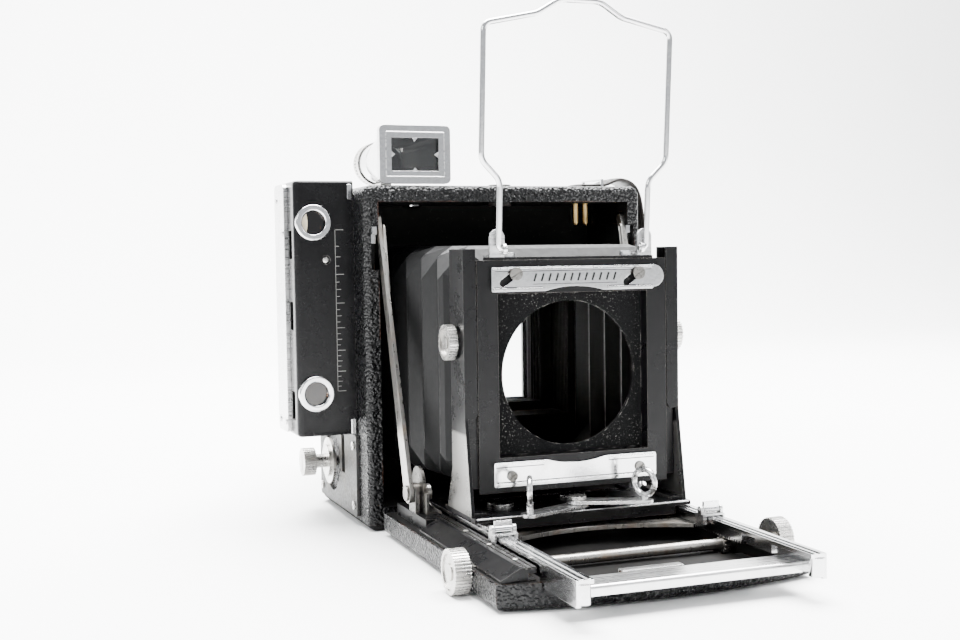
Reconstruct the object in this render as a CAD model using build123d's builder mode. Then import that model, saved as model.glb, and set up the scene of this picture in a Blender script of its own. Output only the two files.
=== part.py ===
from build123d import *
import math
import os

# A folding press camera, standing on its base with the bed let down and the front standard drawn out.
# Millimetres. The lens side looks along -Y, +X is the strap side and +Z is up.
# The origin is the mouth of the tripod bush in the base.

# ---- driving dimensions ----
BODY_WIDTH = 127.0
BODY_HEIGHT = 144.0
BODY_DEPTH = 80.0
FRONT = -38.0  # the body's front plane
SIDE_WALL = 6.3
TOP_WALL = 6.9
FLOOR = 10.0
SKIN = 0.8  # leather
SHAFT_GAP = 0.05  # running clearance on the radius

HALF = BODY_WIDTH / 2
REAR = FRONT + BODY_DEPTH
INSIDE = HALF - SIDE_WALL
CEILING = BODY_HEIGHT - TOP_WALL

BULKHEAD_Y = FRONT + 42.0
CURTAIN_Y = FRONT + 62.6
GATE_WIDTH, GATE_LOW, GATE_HIGH = 82.8, 43.0, 100.0
ROLLER_Y, ROLLER_RADIUS = FRONT + 56.0, 6.0
TOP_ROLLER_Z, BOTTOM_ROLLER_Z = 124.0, 22.5

FINDER_X, FINDER_LOW, FINDER_HIGH = -88.9, 39.1, 146.6
FINDER_FRONT, FINDER_REAR = FRONT + 16.3, FRONT + 48.4
WINDOW_X, WINDOW_ZS = -81.0, (57.3, 129.0)

HINGE_Y, HINGE_Z = FRONT - 4.0, 5.0
BED_HALF = 59.5
BED_CORNER_Y, BED_NOSE_Y = FRONT - 135.0, FRONT - 143.0
BED_TOP, BED_RECESS = 9.4, 5.2
GUIDE_TOP = 14.0
SHAFT_Y, SHAFT_Z, SHAFT_RADIUS = FRONT - 107.0, 8.0, 2.0
MODULE, PINION_TEETH = 0.5, 12
PITCH_RADIUS = MODULE * PINION_TEETH / 2

RAIL_TOP, RAIL_UNDER = 16.2, 14.8
RAIL_INNER, RAIL_OUTER = 38.8, 44.7
TRACK_FRONT, TRACK_REAR = FRONT - 164.0, FRONT - 22.0

BASE_LOW, BASE_HIGH = 16.6, 18.2
FRAME_HALF, FRAME_LOW, FRAME_HIGH = 39.3, 25.4, 112.5
FRAME_FRONT, FRAME_BACK = FRONT - 67.0, FRONT - 58.0
APERTURE_RADIUS, APERTURE_Z = 27.7, 69.0
KNOB_Y, KNOB_Z = FRONT - 57.0, 82.0
LEVER_STUD = (-1.5, FRONT - 71.5)
STOP_Y = FRONT - 96.0

HOOP_Y, HOOP_Z, WIRE_RADIUS = FRONT - 67.5, 116.5, 1.1
STRUT_LUG = (FRONT - 32.0, 21.5)
STRUT_TOP = (FRONT + 5.0, 130.0)
STRUT_IN, STRUT_OUT = 55.2, 56.8

SIGHT_X, SIGHT_Z = -37.6, 157.5
SIGHT_FRONT = FRONT + 10.0
STRAP_Y, STRAP_WIDTH = FRONT + 35.0, 18.0

os.makedirs("parts", exist_ok=True)


# ---- shared shapes ----
def slab(x, y, z, mode=Mode.ADD):
    """A box between three pairs of limits."""
    with Locations(((x[0] + x[1]) / 2, (y[0] + y[1]) / 2, (z[0] + z[1]) / 2)):
        Box(x[1] - x[0], y[1] - y[0], z[1] - z[0], mode=mode)


def rod_x(x, y, z, radius, mode=Mode.ADD):
    """A cylinder along X between two limits."""
    with Locations(((x[0] + x[1]) / 2, y, z)):
        Cylinder(radius, abs(x[1] - x[0]), rotation=(0, 90, 0), mode=mode)


def rod_y(x, y, z, radius, mode=Mode.ADD):
    """A cylinder along Y between two limits."""
    with Locations((x, (y[0] + y[1]) / 2, z)):
        Cylinder(radius, abs(y[1] - y[0]), rotation=(90, 0, 0), mode=mode)


def rod_z(x, y, z, radius, mode=Mode.ADD):
    """A cylinder along Z between two limits."""
    with Locations((x, y, (z[0] + z[1]) / 2)):
        Cylinder(radius, z[1] - z[0], mode=mode)


def facing_x(x, y=0.0, z=0.0):
    """A plane square to X: its own x is +Y and its own y is +Z."""
    return Plane(origin=(x, y, z), x_dir=(0, 1, 0), z_dir=(1, 0, 0))


def facing_front(y, x=0.0, z=0.0):
    """A plane square to Y that looks forward: its own x is +X and its own y is +Z."""
    return Plane(origin=(x, y, z), x_dir=(1, 0, 0), z_dir=(0, -1, 0))


def knurled_disc(plane, radius, thickness, grooves, groove_radius):
    """A disc with round grooves cut along its rim."""
    with BuildSketch(plane) as rim:
        Circle(radius)
        with PolarLocations(radius + groove_radius * 0.25, grooves):
            Circle(groove_radius, mode=Mode.SUBTRACT)
    extrude(rim.sketch, amount=thickness)


def screw_heads(places, plane_at, radius, height, slot=0.5):
    """Round slotted heads, one at each place of a plane."""
    for place in places:
        with BuildSketch(plane_at(*place)) as head:
            Circle(radius)
        extrude(head.sketch, amount=height)
        with BuildSketch(plane_at(*place).offset(height * 0.5)) as cut:
            Rectangle(radius * 2.2, slot, rotation=35)
        extrude(cut.sketch, amount=height, mode=Mode.SUBTRACT)


def save(piece, name):
    """Labels a finished piece and writes its own STEP file."""
    piece.part.label = name
    export_step(piece.part, f"parts/{name}.step")


# ---- body ----
def cut_front_notches():
    """The cut-backs in the front rims where the bed's catches sit."""
    for side in (-1, 1):
        rim = sorted((side * (INSIDE - 1), side * (INSIDE + 3.3)))
        slab(rim, (FRONT - 1, FRONT + 7.0), (109.0, 127.0), mode=Mode.SUBTRACT)


def cut_side_shafts(gap):
    """Holes for the two curtain roller shafts through the shutter side."""
    for z in (TOP_ROLLER_Z, BOTTOM_ROLLER_Z):
        rod_x((-HALF - 3, -INSIDE + 1), ROLLER_Y, z, 2.5 + gap, mode=Mode.SUBTRACT)


def cut_bushes(radius):
    """Holes for the two tripod bushes."""
    rod_z(0, 0, (-1, 9.0), radius, mode=Mode.SUBTRACT)
    rod_x((INSIDE - 1, HALF + 1), REAR - 18.0, 60.0, radius, mode=Mode.SUBTRACT)


# The case's outer form, and the wood inside its leather. The leather stops short of the base.
LEATHER_LOW = 2.6
with BuildPart() as case_form:
    slab((-HALF, HALF), (FRONT, REAR), (0, BODY_HEIGHT))
    fillet(case_form.edges().filter_by(Axis.Y), 4.0)
    fillet(case_form.faces().sort_by(Axis.Y)[0].edges(), 2.8)

with BuildPart() as case_foot:
    add(case_form.part)
    slab((-HALF - 1, HALF + 1), (FRONT - 1, REAR + 1), (LEATHER_LOW, BODY_HEIGHT + 1), mode=Mode.SUBTRACT)

with BuildPart() as case_core:
    slab((-HALF + SKIN, HALF - SKIN), (FRONT + SKIN, REAR), (SKIN, BODY_HEIGHT - SKIN))
    fillet(case_core.edges().filter_by(Axis.Y), 3.2)
    fillet(case_core.faces().sort_by(Axis.Y)[0].edges(), 2.0)

with BuildPart() as body_box:
    add(case_core.part)
    add(case_foot.part)
    slab((-INSIDE, INSIDE), (FRONT - 1, FRONT + 76.0), (FLOOR, CEILING), mode=Mode.SUBTRACT)
    slab((-47.0, 47.0), (FRONT + 70, REAR + 1), (37.0, 106.0), mode=Mode.SUBTRACT)
    for side in (-1, 1):
        groove = sorted((side * (INSIDE - 1), side * (INSIDE + 2.6)))
        slab(groove, (FRONT + 3.0, FRONT + 36.5), (128.0, 133.2), mode=Mode.SUBTRACT)
    cut_front_notches()
    cut_side_shafts(SHAFT_GAP)
    for z in (TOP_ROLLER_Z, BOTTOM_ROLLER_Z):
        rod_x((INSIDE - 1, INSIDE + 3.5), ROLLER_Y, z, 2.5 + SHAFT_GAP, mode=Mode.SUBTRACT)
    cut_bushes(6.0)
    rod_z(0, FRONT + 9.0, (CEILING - 1, BODY_HEIGHT), 5.2, mode=Mode.SUBTRACT)
save(body_box, "body_box")

with BuildPart() as body_leather:
    add(case_form.part)
    add(case_core.part, mode=Mode.SUBTRACT)
    slab((-HALF - 1, HALF + 1), (FRONT - 1, REAR + 1), (-1, LEATHER_LOW), mode=Mode.SUBTRACT)
    slab((-INSIDE, INSIDE), (FRONT - 1, FRONT + 9), (FLOOR, CEILING), mode=Mode.SUBTRACT)
    cut_front_notches()
    cut_side_shafts(1.0)
    cut_bushes(6.05)
    rod_z(0, FRONT + 9.0, (BODY_HEIGHT - 2, BODY_HEIGHT + 1), 5.2, mode=Mode.SUBTRACT)
save(body_leather, "body_leather")

# Two light baffles, one each side of the curtain. Their side walls are stepped to kill reflections.
BAFFLE_STEP = 2.0
with BuildPart() as film_gate:
    slab((-INSIDE + 0.1, INSIDE - 0.1), (BULKHEAD_Y, BULKHEAD_Y + 3), (FLOOR + 0.1, CEILING - 0.1))
    slab((-50.5, 50.5), (BULKHEAD_Y + 3, FRONT + 59.5), (35.5, 107.5))
    slab((-46.5, 46.5), (BULKHEAD_Y - 1, FRONT + 60), (39.5, 103.5), mode=Mode.SUBTRACT)
    slab((-46.8, 46.8), (FRONT + 64.5, FRONT + 79.0), (37.2, 105.8))
    steps = 6
    for i in range(steps):
        half = GATE_WIDTH / 2 + 0.6 * (steps - 1 - i)
        start = FRONT + 64.5 + BAFFLE_STEP * i
        end = REAR + 1 if i == steps - 1 else start + BAFFLE_STEP
        slab((-half, half), (start - 0.01, end), (GATE_LOW, GATE_HIGH), mode=Mode.SUBTRACT)
save(film_gate, "film_gate")

with BuildPart() as shutter_curtain:
    slab((-47.0, 47.0), (CURTAIN_Y - 0.2, CURTAIN_Y + 0.2), (BOTTOM_ROLLER_Z, TOP_ROLLER_Z))
    slab((-43.0, 43.0), (CURTAIN_Y - 1, CURTAIN_Y + 1), (41.5, 101.5), mode=Mode.SUBTRACT)
save(shutter_curtain, "shutter_curtain")

# The shutter's side plate runs under the range finder and up behind it.
PLATE_X = -HALF - 1.4
with BuildPart() as side_plate:
    slab((PLATE_X, -HALF), (FRONT + 14.0, FRONT + 78.5), (4.0, FINDER_LOW - 0.3))
    slab((PLATE_X, -HALF), (FINDER_REAR + 0.6, FRONT + 78.5), (FINDER_LOW - 0.3, 139.0))
    fillet(side_plate.edges().filter_by(Axis.X), 1.5)
    for z in (TOP_ROLLER_Z, BOTTOM_ROLLER_Z):
        rod_x((PLATE_X - 1, -HALF + 1), ROLLER_Y, z, 3.2, mode=Mode.SUBTRACT)
    slab((PLATE_X - 1, -HALF), (FRONT + 33.5, FRONT + 39.0), (20.0, FINDER_LOW - 2.5), mode=Mode.SUBTRACT)
    rod_x((PLATE_X - 1, -HALF), ROLLER_Y, BOTTOM_ROLLER_Z, 13.6, mode=Mode.SUBTRACT)
    slab((PLATE_X - 1, -HALF), (FRONT + 66.0, FRONT + 74.0), (84.0, 92.0), mode=Mode.SUBTRACT)
    slab((PLATE_X - 1, -HALF), (FRONT + 69.0, FRONT + 71.0), (98.0, 109.0), mode=Mode.SUBTRACT)
save(side_plate, "shutter_side_plate")

with BuildPart() as case_screws:
    side_places = [(FRONT + 18.0, 8.5), (FRONT + 74.5, 8.5), (FRONT + 18.0, 34.0)]
    side_places += [(FRONT + 74.5, 60.0), (FRONT + 74.5, 134.5), (FRONT + 55.0, 134.5)]
    screw_heads(
        side_places,
        lambda y, z: Plane(origin=(PLATE_X, y, z), x_dir=(0, -1, 0), z_dir=(-1, 0, 0)),
        1.9,
        0.7,
    )
    screw_heads(
        [(x, z) for x in (-54.5, 54.5) for z in (18.0, 73.0, 128.0)],
        lambda x, z: Plane(origin=(x, REAR + 5.0, z), x_dir=(-1, 0, 0), z_dir=(0, 1, 0)),
        2.2,
        0.8,
    )
save(case_screws, "case_screws")


# Curtain rollers with their outside knobs. Each turns in the body's two side walls.
def roller(z, flange_radius, knob_start, knob_depth):
    """A roller, its shaft, a ratchet flange and a knurled winding knob on one axis."""
    rod_x((-INSIDE + 5, INSIDE - 5), ROLLER_Y, z, ROLLER_RADIUS)
    rod_x((knob_start - 1, INSIDE + 3.0), ROLLER_Y, z, 2.5)
    rod_x((-66.9, -65.7), ROLLER_Y, z, flange_radius)
    rod_x((-68.0, -66.8), ROLLER_Y, z, flange_radius - 3.2)
    rod_x((knob_start - 1, -66.8), ROLLER_Y, z, 3.1)
    outer = knob_start - knob_depth
    knurled_disc(facing_x(outer, ROLLER_Y, z), 6.2, knob_depth, 28, 0.42)
    with BuildSketch(facing_x(outer - 0.5, ROLLER_Y, z)) as slot:
        Rectangle(0.9, 7.0)
    extrude(slot.sketch, amount=1.3, mode=Mode.SUBTRACT)


with BuildPart() as winding_roller:
    roller(TOP_ROLLER_Z, 7.0, -71.5, 6.5)
save(winding_roller, "winding_roller")

with BuildPart() as tension_roller:
    roller(BOTTOM_ROLLER_Z, 10.4, -73.4, 5.5)
save(tension_roller, "tension_roller")

with BuildPart() as release_slide:
    slab((-65.6, -HALF - 0.05), (FRONT + 69.3, FRONT + 70.7), (104.0, 108.5))
    rod_x((-69.5, -65.3), FRONT + 70.0, 106.0, 1.6)
    knurled_disc(facing_x(-71.5, FRONT + 70.0, 106.0), 3.4, 2.2, 18, 0.35)
save(release_slide, "shutter_release")

# ---- range finder ----
COVER_FRONT = FINDER_FRONT + 13.0

with BuildPart() as rangefinder_housing:
    slab((FINDER_X, -HALF), (FINDER_FRONT, FINDER_REAR), (FINDER_LOW, FINDER_HIGH))
    fillet(rangefinder_housing.edges().filter_by(Axis.Z).sort_by(Axis.X)[:2], 2.4)
    fillet(rangefinder_housing.edges().filter_by(Axis.X), 1.6)
    hollow_z = (FINDER_LOW + 1.6, FINDER_HIGH - 1.6)
    slab((FINDER_X + 1.6, -HALF - 1.6), (FINDER_FRONT + 1.6, FINDER_REAR - 1.6), hollow_z, mode=Mode.SUBTRACT)
    slab((FINDER_X - 1, -80), (COVER_FRONT + 2.0, FINDER_REAR - 1.6), hollow_z, mode=Mode.SUBTRACT)
    for z in ((46.0, 58.0), (84.0, 96.0), (114.0, 126.0)):
        slab((FINDER_X - 1, FINDER_X + 2), (FINDER_FRONT + 5, FINDER_FRONT + 11), z, mode=Mode.SUBTRACT)
    for z in WINDOW_ZS:
        rod_y(WINDOW_X, (FINDER_FRONT - 1, FINDER_FRONT + 3), z, 6.1, mode=Mode.SUBTRACT)
    rod_y(WINDOW_X, (FINDER_REAR - 3, FINDER_REAR + 1), WINDOW_ZS[1], 4.0, mode=Mode.SUBTRACT)
    rod_y(-75.6, (FINDER_FRONT - 1, FINDER_FRONT + 0.7), 113.4, 1.9, mode=Mode.SUBTRACT)
    rod_y(-75.6, (FINDER_FRONT, FINDER_FRONT + 3), 113.4, 1.2, mode=Mode.SUBTRACT)
save(rangefinder_housing, "rangefinder_housing")

with BuildPart() as rangefinder_cover:
    slab((FINDER_X - 1.6, FINDER_X), (COVER_FRONT, FINDER_REAR - 0.6), (FINDER_LOW + 0.8, FINDER_HIGH - 0.8))
    fillet(rangefinder_cover.edges().filter_by(Axis.X), 3.0)
    screw_heads(
        [(COVER_FRONT + 3.0, z) for z in (44.5, 125.0)] + [(FINDER_REAR - 4.5, z) for z in (44.5, 139.0)],
        lambda y, z: Plane(origin=(FINDER_X - 1.6, y, z), x_dir=(0, -1, 0), z_dir=(-1, 0, 0)),
        1.5,
        0.5,
    )
save(rangefinder_cover, "rangefinder_cover")

with BuildPart() as rangefinder_rings:
    for z in WINDOW_ZS:
        rod_y(WINDOW_X, (FINDER_FRONT - 2.2, FINDER_FRONT), z, 7.6)
        rod_y(WINDOW_X, (FINDER_FRONT, FINDER_FRONT + 2.6), z, 6.0)
        rod_y(WINDOW_X, (FINDER_FRONT - 3, FINDER_FRONT + 3), z, 4.9, mode=Mode.SUBTRACT)
    fillet(rangefinder_rings.edges().group_by(Axis.Y)[0], 0.7)
    rod_y(WINDOW_X, (FINDER_REAR, FINDER_REAR + 1.2), WINDOW_ZS[1], 5.0)
    rod_y(WINDOW_X, (FINDER_REAR - 2, FINDER_REAR), WINDOW_ZS[1], 3.9)
    rod_y(WINDOW_X, (FINDER_REAR - 3, FINDER_REAR + 5), WINDOW_ZS[1], 2.2, mode=Mode.SUBTRACT)
save(rangefinder_rings, "rangefinder_rings")

with BuildPart() as finder_glasses:
    for z in WINDOW_ZS:
        rod_y(WINDOW_X, (FINDER_FRONT + 0.2, FINDER_FRONT + 1.4), z, 4.8)
    pane_y, pane_z = (SIGHT_FRONT + 1.6, SIGHT_FRONT + 2.8), (SIGHT_Z - 9.2, SIGHT_Z + 9.2)
    slab((SIGHT_X - 12.6, SIGHT_X + 12.6), pane_y, pane_z)
save(finder_glasses, "finder_glasses")


def mirror_block(z, tilt):
    """A mirror plate at 45 degrees to the line of sight, on its cross pin."""
    with Locations(Location((WINDOW_X, FRONT + 29.5, z), (tilt, 0, 0))):
        Box(10.0, 14.0, 1.6)
    rod_x((WINDOW_X - 6.0, WINDOW_X + 7.0), FRONT + 29.5, z, 1.3)


with BuildPart() as fixed_mirror:
    mirror_block(WINDOW_ZS[1], 45)
    slab((WINDOW_X + 6.2, -HALF - 1.6), (FRONT + 28.0, FRONT + 31.0), (WINDOW_ZS[1] - 2, WINDOW_ZS[1] + 2))
    # the bearing arm of the swinging mirror
    slab((WINDOW_X + 5.6, -HALF - 1.6), (FRONT + 27.5, FRONT + 31.5), (WINDOW_ZS[0] - 2, WINDOW_ZS[0] + 2))
    rod_x((WINDOW_X + 5, WINDOW_X + 9), FRONT + 29.5, WINDOW_ZS[0], 1.3 + SHAFT_GAP, mode=Mode.SUBTRACT)
save(fixed_mirror, "fixed_mirror")

with BuildPart() as swing_mirror:
    mirror_block(WINDOW_ZS[0], 45)
save(swing_mirror, "swing_mirror")

# ---- tubular view finder ----
with BuildPart() as viewfinder_housing:
    slab((SIGHT_X - 15.75, SIGHT_X + 15.75), (SIGHT_FRONT, SIGHT_FRONT + 3.4), (145.2, 169.8))
    fillet(viewfinder_housing.edges().filter_by(Axis.Y), 2.2)
    with BuildSketch(facing_front(SIGHT_FRONT + 3.4, SIGHT_X, SIGHT_Z)):
        RectangleRounded(28.0, 21.0, 2.0)
    with BuildSketch(facing_front(SIGHT_FRONT + 44.0, SIGHT_X, SIGHT_Z)):
        RectangleRounded(19.0, 18.0, 8.5)
    loft()
    rod_y(SIGHT_X, (SIGHT_FRONT + 43.9, SIGHT_FRONT + 56.0), SIGHT_Z, 9.4)
    with BuildSketch(facing_front(SIGHT_FRONT + 3.0, SIGHT_X, SIGHT_Z)):
        RectangleRounded(25.0, 18.2, 1.0)
    with BuildSketch(facing_front(SIGHT_FRONT + 44.0, SIGHT_X, SIGHT_Z)):
        RectangleRounded(16.0, 15.0, 7.0)
    loft(mode=Mode.SUBTRACT)
    rod_y(SIGHT_X, (SIGHT_FRONT + 43, SIGHT_FRONT + 57), SIGHT_Z, 7.4, mode=Mode.SUBTRACT)
    slab(
        (SIGHT_X - 12.8, SIGHT_X + 12.8),
        (SIGHT_FRONT + 1.4, SIGHT_FRONT + 3.1),
        (SIGHT_Z - 9.4, SIGHT_Z + 9.4),
        mode=Mode.SUBTRACT,
    )
    window_y, window_z = (SIGHT_FRONT - 1, SIGHT_FRONT + 3), (SIGHT_Z - 7, SIGHT_Z + 7)
    slab((SIGHT_X - 10.5, SIGHT_X + 10.5), window_y, window_z, mode=Mode.SUBTRACT)
save(viewfinder_housing, "viewfinder_housing")

with BuildPart() as viewfinder_foot:
    slab((SIGHT_X - 9, SIGHT_X + 9), (SIGHT_FRONT + 20, SIGHT_FRONT + 60), (BODY_HEIGHT, BODY_HEIGHT + 1.6))
    slab((SIGHT_X - 2.5, SIGHT_X + 2.5), (SIGHT_FRONT + 44.5, SIGHT_FRONT + 55), (BODY_HEIGHT, SIGHT_Z - 9.4))
    for y in (REAR - 8.0, REAR - 2.5):
        for x in (-6.0, 4.0):
            slab((x, x + 2.0), (y, y + 2.5), (BODY_HEIGHT, BODY_HEIGHT + 3.2))
    slab((-8.0, 8.0), (REAR - 8.0, REAR), (BODY_HEIGHT, BODY_HEIGHT + 1.0))
    rod_x((-7, 7), REAR - 1.25, BODY_HEIGHT + 2.2, 0.6, mode=Mode.SUBTRACT)
save(viewfinder_foot, "sight_mounts")

with BuildPart() as parallax_ring:
    rod_y(SIGHT_X, (SIGHT_FRONT + 56.2, SIGHT_FRONT + 64.0), SIGHT_Z, 10.0)
    rod_y(SIGHT_X, (SIGHT_FRONT + 50.0, SIGHT_FRONT + 56.2), SIGHT_Z, 7.35)
    rod_y(SIGHT_X, (SIGHT_FRONT + 49.0, SIGHT_FRONT + 65.0), SIGHT_Z, 4.2, mode=Mode.SUBTRACT)
    with BuildSketch(facing_front(SIGHT_FRONT + 62.0, SIGHT_X, SIGHT_Z)) as ring_grooves:
        with PolarLocations(10.1, 40):
            Circle(0.4)
    extrude(ring_grooves.sketch, amount=4.0, mode=Mode.SUBTRACT)
save(parallax_ring, "parallax_ring")

with BuildPart() as peep_sight:
    rod_x((-3.8, 3.8), REAR - 1.25, BODY_HEIGHT + 2.2, 0.9)
    slab((-3.8, 3.8), (REAR - 4.0, REAR - 1.6), (BODY_HEIGHT + 1.4, BODY_HEIGHT + 2.8))
    slab((-8.5, 8.5), (REAR - 27.0, REAR - 9.0), (BODY_HEIGHT + 1.4, BODY_HEIGHT + 2.8))
    slab((-3.8, 3.8), (REAR - 10.0, REAR - 3.0), (BODY_HEIGHT + 1.4, BODY_HEIGHT + 2.8))
    rod_z(0, REAR - 18.0, (BODY_HEIGHT, BODY_HEIGHT + 4), 2.2, mode=Mode.SUBTRACT)
    rod_x((-5, 5), REAR - 1.25, BODY_HEIGHT + 2.2, 0.55, mode=Mode.SUBTRACT)
save(peep_sight, "peep_sight")

with BuildPart() as latch_button:
    rod_z(0, FRONT + 9.0, (CEILING - 1.5, BODY_HEIGHT + 0.8), 5.0)
    fillet(latch_button.edges().group_by(Axis.Z)[-1], 0.7)
save(latch_button, "bed_latch_button")

with BuildPart() as case_fittings:
    for side in (-1, 1):
        catch = sorted((side * (INSIDE + 0.4), side * (INSIDE + 3.2)))
        slab(catch, (FRONT + 3.6, FRONT + 7.0), (120.0, 126.9))
        tongue = sorted((side * (INSIDE + 0.2), side * (INSIDE + 2.2)))
        slab(tongue, (FRONT + 2.0, FRONT + 3.6), (123.6, 126.9))
    slab((42.0, 57.5), (STRAP_Y - 8.0, STRAP_Y + 8.0), (BODY_HEIGHT, BODY_HEIGHT + 1.1))
    slab((56.3, 57.5), (STRAP_Y - 10.5, STRAP_Y + 10.5), (BODY_HEIGHT, BODY_HEIGHT + 4.6))
    loop_y, loop_z = (STRAP_Y - 9.3, STRAP_Y + 9.3), (BODY_HEIGHT + 1.1, BODY_HEIGHT + 4.0)
    slab((55.5, 58.5), loop_y, loop_z, mode=Mode.SUBTRACT)
    slab((HALF, HALF + 1.2), (STRAP_Y - 8.0, STRAP_Y + 8.0), (10.0, 24.0))
    slab((HALF, HALF + 4.8), (STRAP_Y - 10.5, STRAP_Y + 10.5), (24.0, 25.2))
    slab((HALF + 1.2, HALF + 4.0), (STRAP_Y - 9.3, STRAP_Y + 9.3), (23.0, 26.0), mode=Mode.SUBTRACT)
save(case_fittings, "case_fittings")

with BuildPart() as hand_strap:
    with BuildLine(facing_front(STRAP_Y)) as strap_path:
        strap_points = [
            (48.0, BODY_HEIGHT + 2.4), (61.0, BODY_HEIGHT + 2.4),
            (67.5, BODY_HEIGHT + 6.2), (77.0, BODY_HEIGHT + 1.0),
            (80.0, 110.0), (80.6, 60.0), (74.0, 40.0), (66.2, 29.0), (66.2, 14.0),
        ]
        FilletPolyline(*strap_points, radius=[6, 5, 5, 30, 30, 12, 6])
    with BuildSketch(Plane(origin=strap_path.line @ 0, x_dir=(0, 1, 0), z_dir=strap_path.line % 0)):
        Rectangle(STRAP_WIDTH, 2.2)
    sweep()
save(hand_strap, "hand_strap")

with BuildPart() as tripod_bushes:
    rod_z(0, 0, (0, 9.0), 6.0)
    rod_z(0, 0, (-1, 10.0), 2.6, mode=Mode.SUBTRACT)
    rod_x((HALF - 6.0, HALF), REAR - 18.0, 60.0, 6.0)
    rod_x((HALF - 7.0, HALF + 1), REAR - 18.0, 60.0, 2.6, mode=Mode.SUBTRACT)
save(tripod_bushes, "tripod_bushes")

# ---- back ----
with BuildPart() as back_frame:
    slab((-58.0, 58.0), (REAR, REAR + 5.0), (13.0, 132.0))
    fillet(back_frame.edges().filter_by(Axis.Y), 4.0)
    slab((-45.0, 45.0), (REAR - 1, REAR + 6), (40.0, 103.0), mode=Mode.SUBTRACT)
save(back_frame, "back_frame")

PANEL_Y = REAR + 5.2
with BuildPart() as focusing_frame:
    slab((-48.0, 48.0), (PANEL_Y, PANEL_Y + 4.4), (30.0, 113.0))
    fillet(focusing_frame.edges().filter_by(Axis.Y), 2.5)
    slab((-44.0, 44.0), (PANEL_Y - 1, PANEL_Y + 2.3), (41.0, 102.0), mode=Mode.SUBTRACT)
    slab((-42.0, 42.0), (PANEL_Y - 1, PANEL_Y + 5), (43.0, 100.0), mode=Mode.SUBTRACT)
    for x in (-36.0, 24.0):
        slab((x, x + 12.0), (PANEL_Y + 4.4, PANEL_Y + 5.4), (104.0, 112.0))
        rod_x((x, x + 12.0), PANEL_Y + 6.6, 110.5, 1.6)
        slab((x, x + 12.0), (PANEL_Y + 4.4, PANEL_Y + 6.6), (108.9, 112.1))
    rod_x((-40, 40), PANEL_Y + 6.6, 110.5, 0.8, mode=Mode.SUBTRACT)
save(focusing_frame, "focusing_frame")

with BuildPart() as ground_glass:
    slab((-43.7, 43.7), (PANEL_Y + 0.4, PANEL_Y + 2.2), (41.3, 101.7))
save(ground_glass, "ground_glass")

with BuildPart() as focusing_lid:
    rod_x((-36.4, 36.4), PANEL_Y + 6.6, 110.5, 0.75)
    for x in ((-23.6, -4.0), (4.0, 23.6)):
        rod_x(x, PANEL_Y + 6.6, 110.5, 1.6)
        slab(x, (PANEL_Y + 6.6, PANEL_Y + 12.0), (109.9, 111.1))
    with BuildSketch(Plane.XY.offset(109.9)) as lid_sheet:
        with Locations((0, PANEL_Y + 42.8)):
            RectangleRounded(84.0, 66.4, 3.0)
    extrude(lid_sheet.sketch, amount=1.2)
    for x in (-42.0, 41.0):
        slab((x, x + 1.0), (PANEL_Y + 13.6, PANEL_Y + 72.0), (108.7, 110.0))
save(focusing_lid, "focusing_lid")

with BuildPart() as back_springs:
    for side in (-1, 1):
        strip = sorted((side * 43.2, side * 47.2))
        slab(strip, (PANEL_Y + 4.6, PANEL_Y + 5.2), (21.0, 126.0))
        for z in ((20.0, 27.0), (120.0, 127.0)):
            slab(strip, (REAR + 5.0, PANEL_Y + 4.6), z)
save(back_springs, "back_springs")

# ---- hinge ----
KNUCKLE = 22.0
with BuildPart() as hinge_leaves:
    rod_x((-55.5, 55.5), HINGE_Y, HINGE_Z, 1.5)
    for i in (-1, 1):
        span = (i * 22.5 - KNUCKLE / 2 + 0.4, i * 22.5 + KNUCKLE / 2 - 0.4)
        rod_x(span, HINGE_Y, HINGE_Z, 3.4)
        slab(span, (HINGE_Y, FRONT), (HINGE_Z - 3.4, HINGE_Z + 3.4))
save(hinge_leaves, "bed_hinge")


# ---- bed ----
BED_REAR = FRONT - 8.2


def bed_outline(height, inset):
    """The bed from above: straight sides and a gently bowed nose, drawn in by an inset."""
    half, corner, nose = BED_HALF - inset, BED_CORNER_Y + inset, BED_NOSE_Y + inset
    with BuildSketch(Plane.XY.offset(height)) as outline:
        with BuildLine():
            Polyline((-half, corner), (-half, BED_REAR), (half, BED_REAR), (half, corner))
            ThreePointArc((half, corner), (0, nose), (-half, corner))
        make_face()
    return outline.sketch


def cut_rail_notches():
    """Gaps in the bed's nose that let the two rails slide back."""
    for side in (-1, 1):
        slab(sorted((side * 38.4, side * 45.0)), (BED_NOSE_Y - 1, FRONT - 130), (7.4, 10), mode=Mode.SUBTRACT)


# The bed's wooden panel, inside its leather, is rounded along the bottom of its sides and nose.
with BuildPart() as bed_core:
    extrude(bed_outline(1.4, SKIN), amount=BED_TOP - 1.4)
    fillet(bed_core.faces().sort_by(Axis.Z)[0].edges().sort_by(Axis.Y)[:3], 2.4)
    slab((-45.0, 45.0), (FRONT - 136.5, BED_REAR - 4.0), (BED_RECESS, 10), mode=Mode.SUBTRACT)
    cut_rail_notches()

with BuildPart() as bed_panel:
    add(bed_core.part)
    for i in (-2, 0, 2):
        span = (i * 22.5 - KNUCKLE / 2, i * 22.5 + KNUCKLE / 2)
        rod_x(span, HINGE_Y, HINGE_Z, 3.4)
        slab(span, (BED_REAR - 1.0, HINGE_Y), (HINGE_Z - 3.4, HINGE_Z + 2.0))
    rod_x((-60, 60), HINGE_Y, HINGE_Z, 1.5 + SHAFT_GAP, mode=Mode.SUBTRACT)
    rod_x((-60, 60), SHAFT_Y, SHAFT_Z, SHAFT_RADIUS + SHAFT_GAP, mode=Mode.SUBTRACT)
    for side in (-1, 1):
        pocket = sorted((side * 37.5, side * 45.0))
        slab(pocket, (SHAFT_Y - 5, SHAFT_Y + 5), (3.8, 6.0), mode=Mode.SUBTRACT)
save(bed_panel, "bed_panel")

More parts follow.
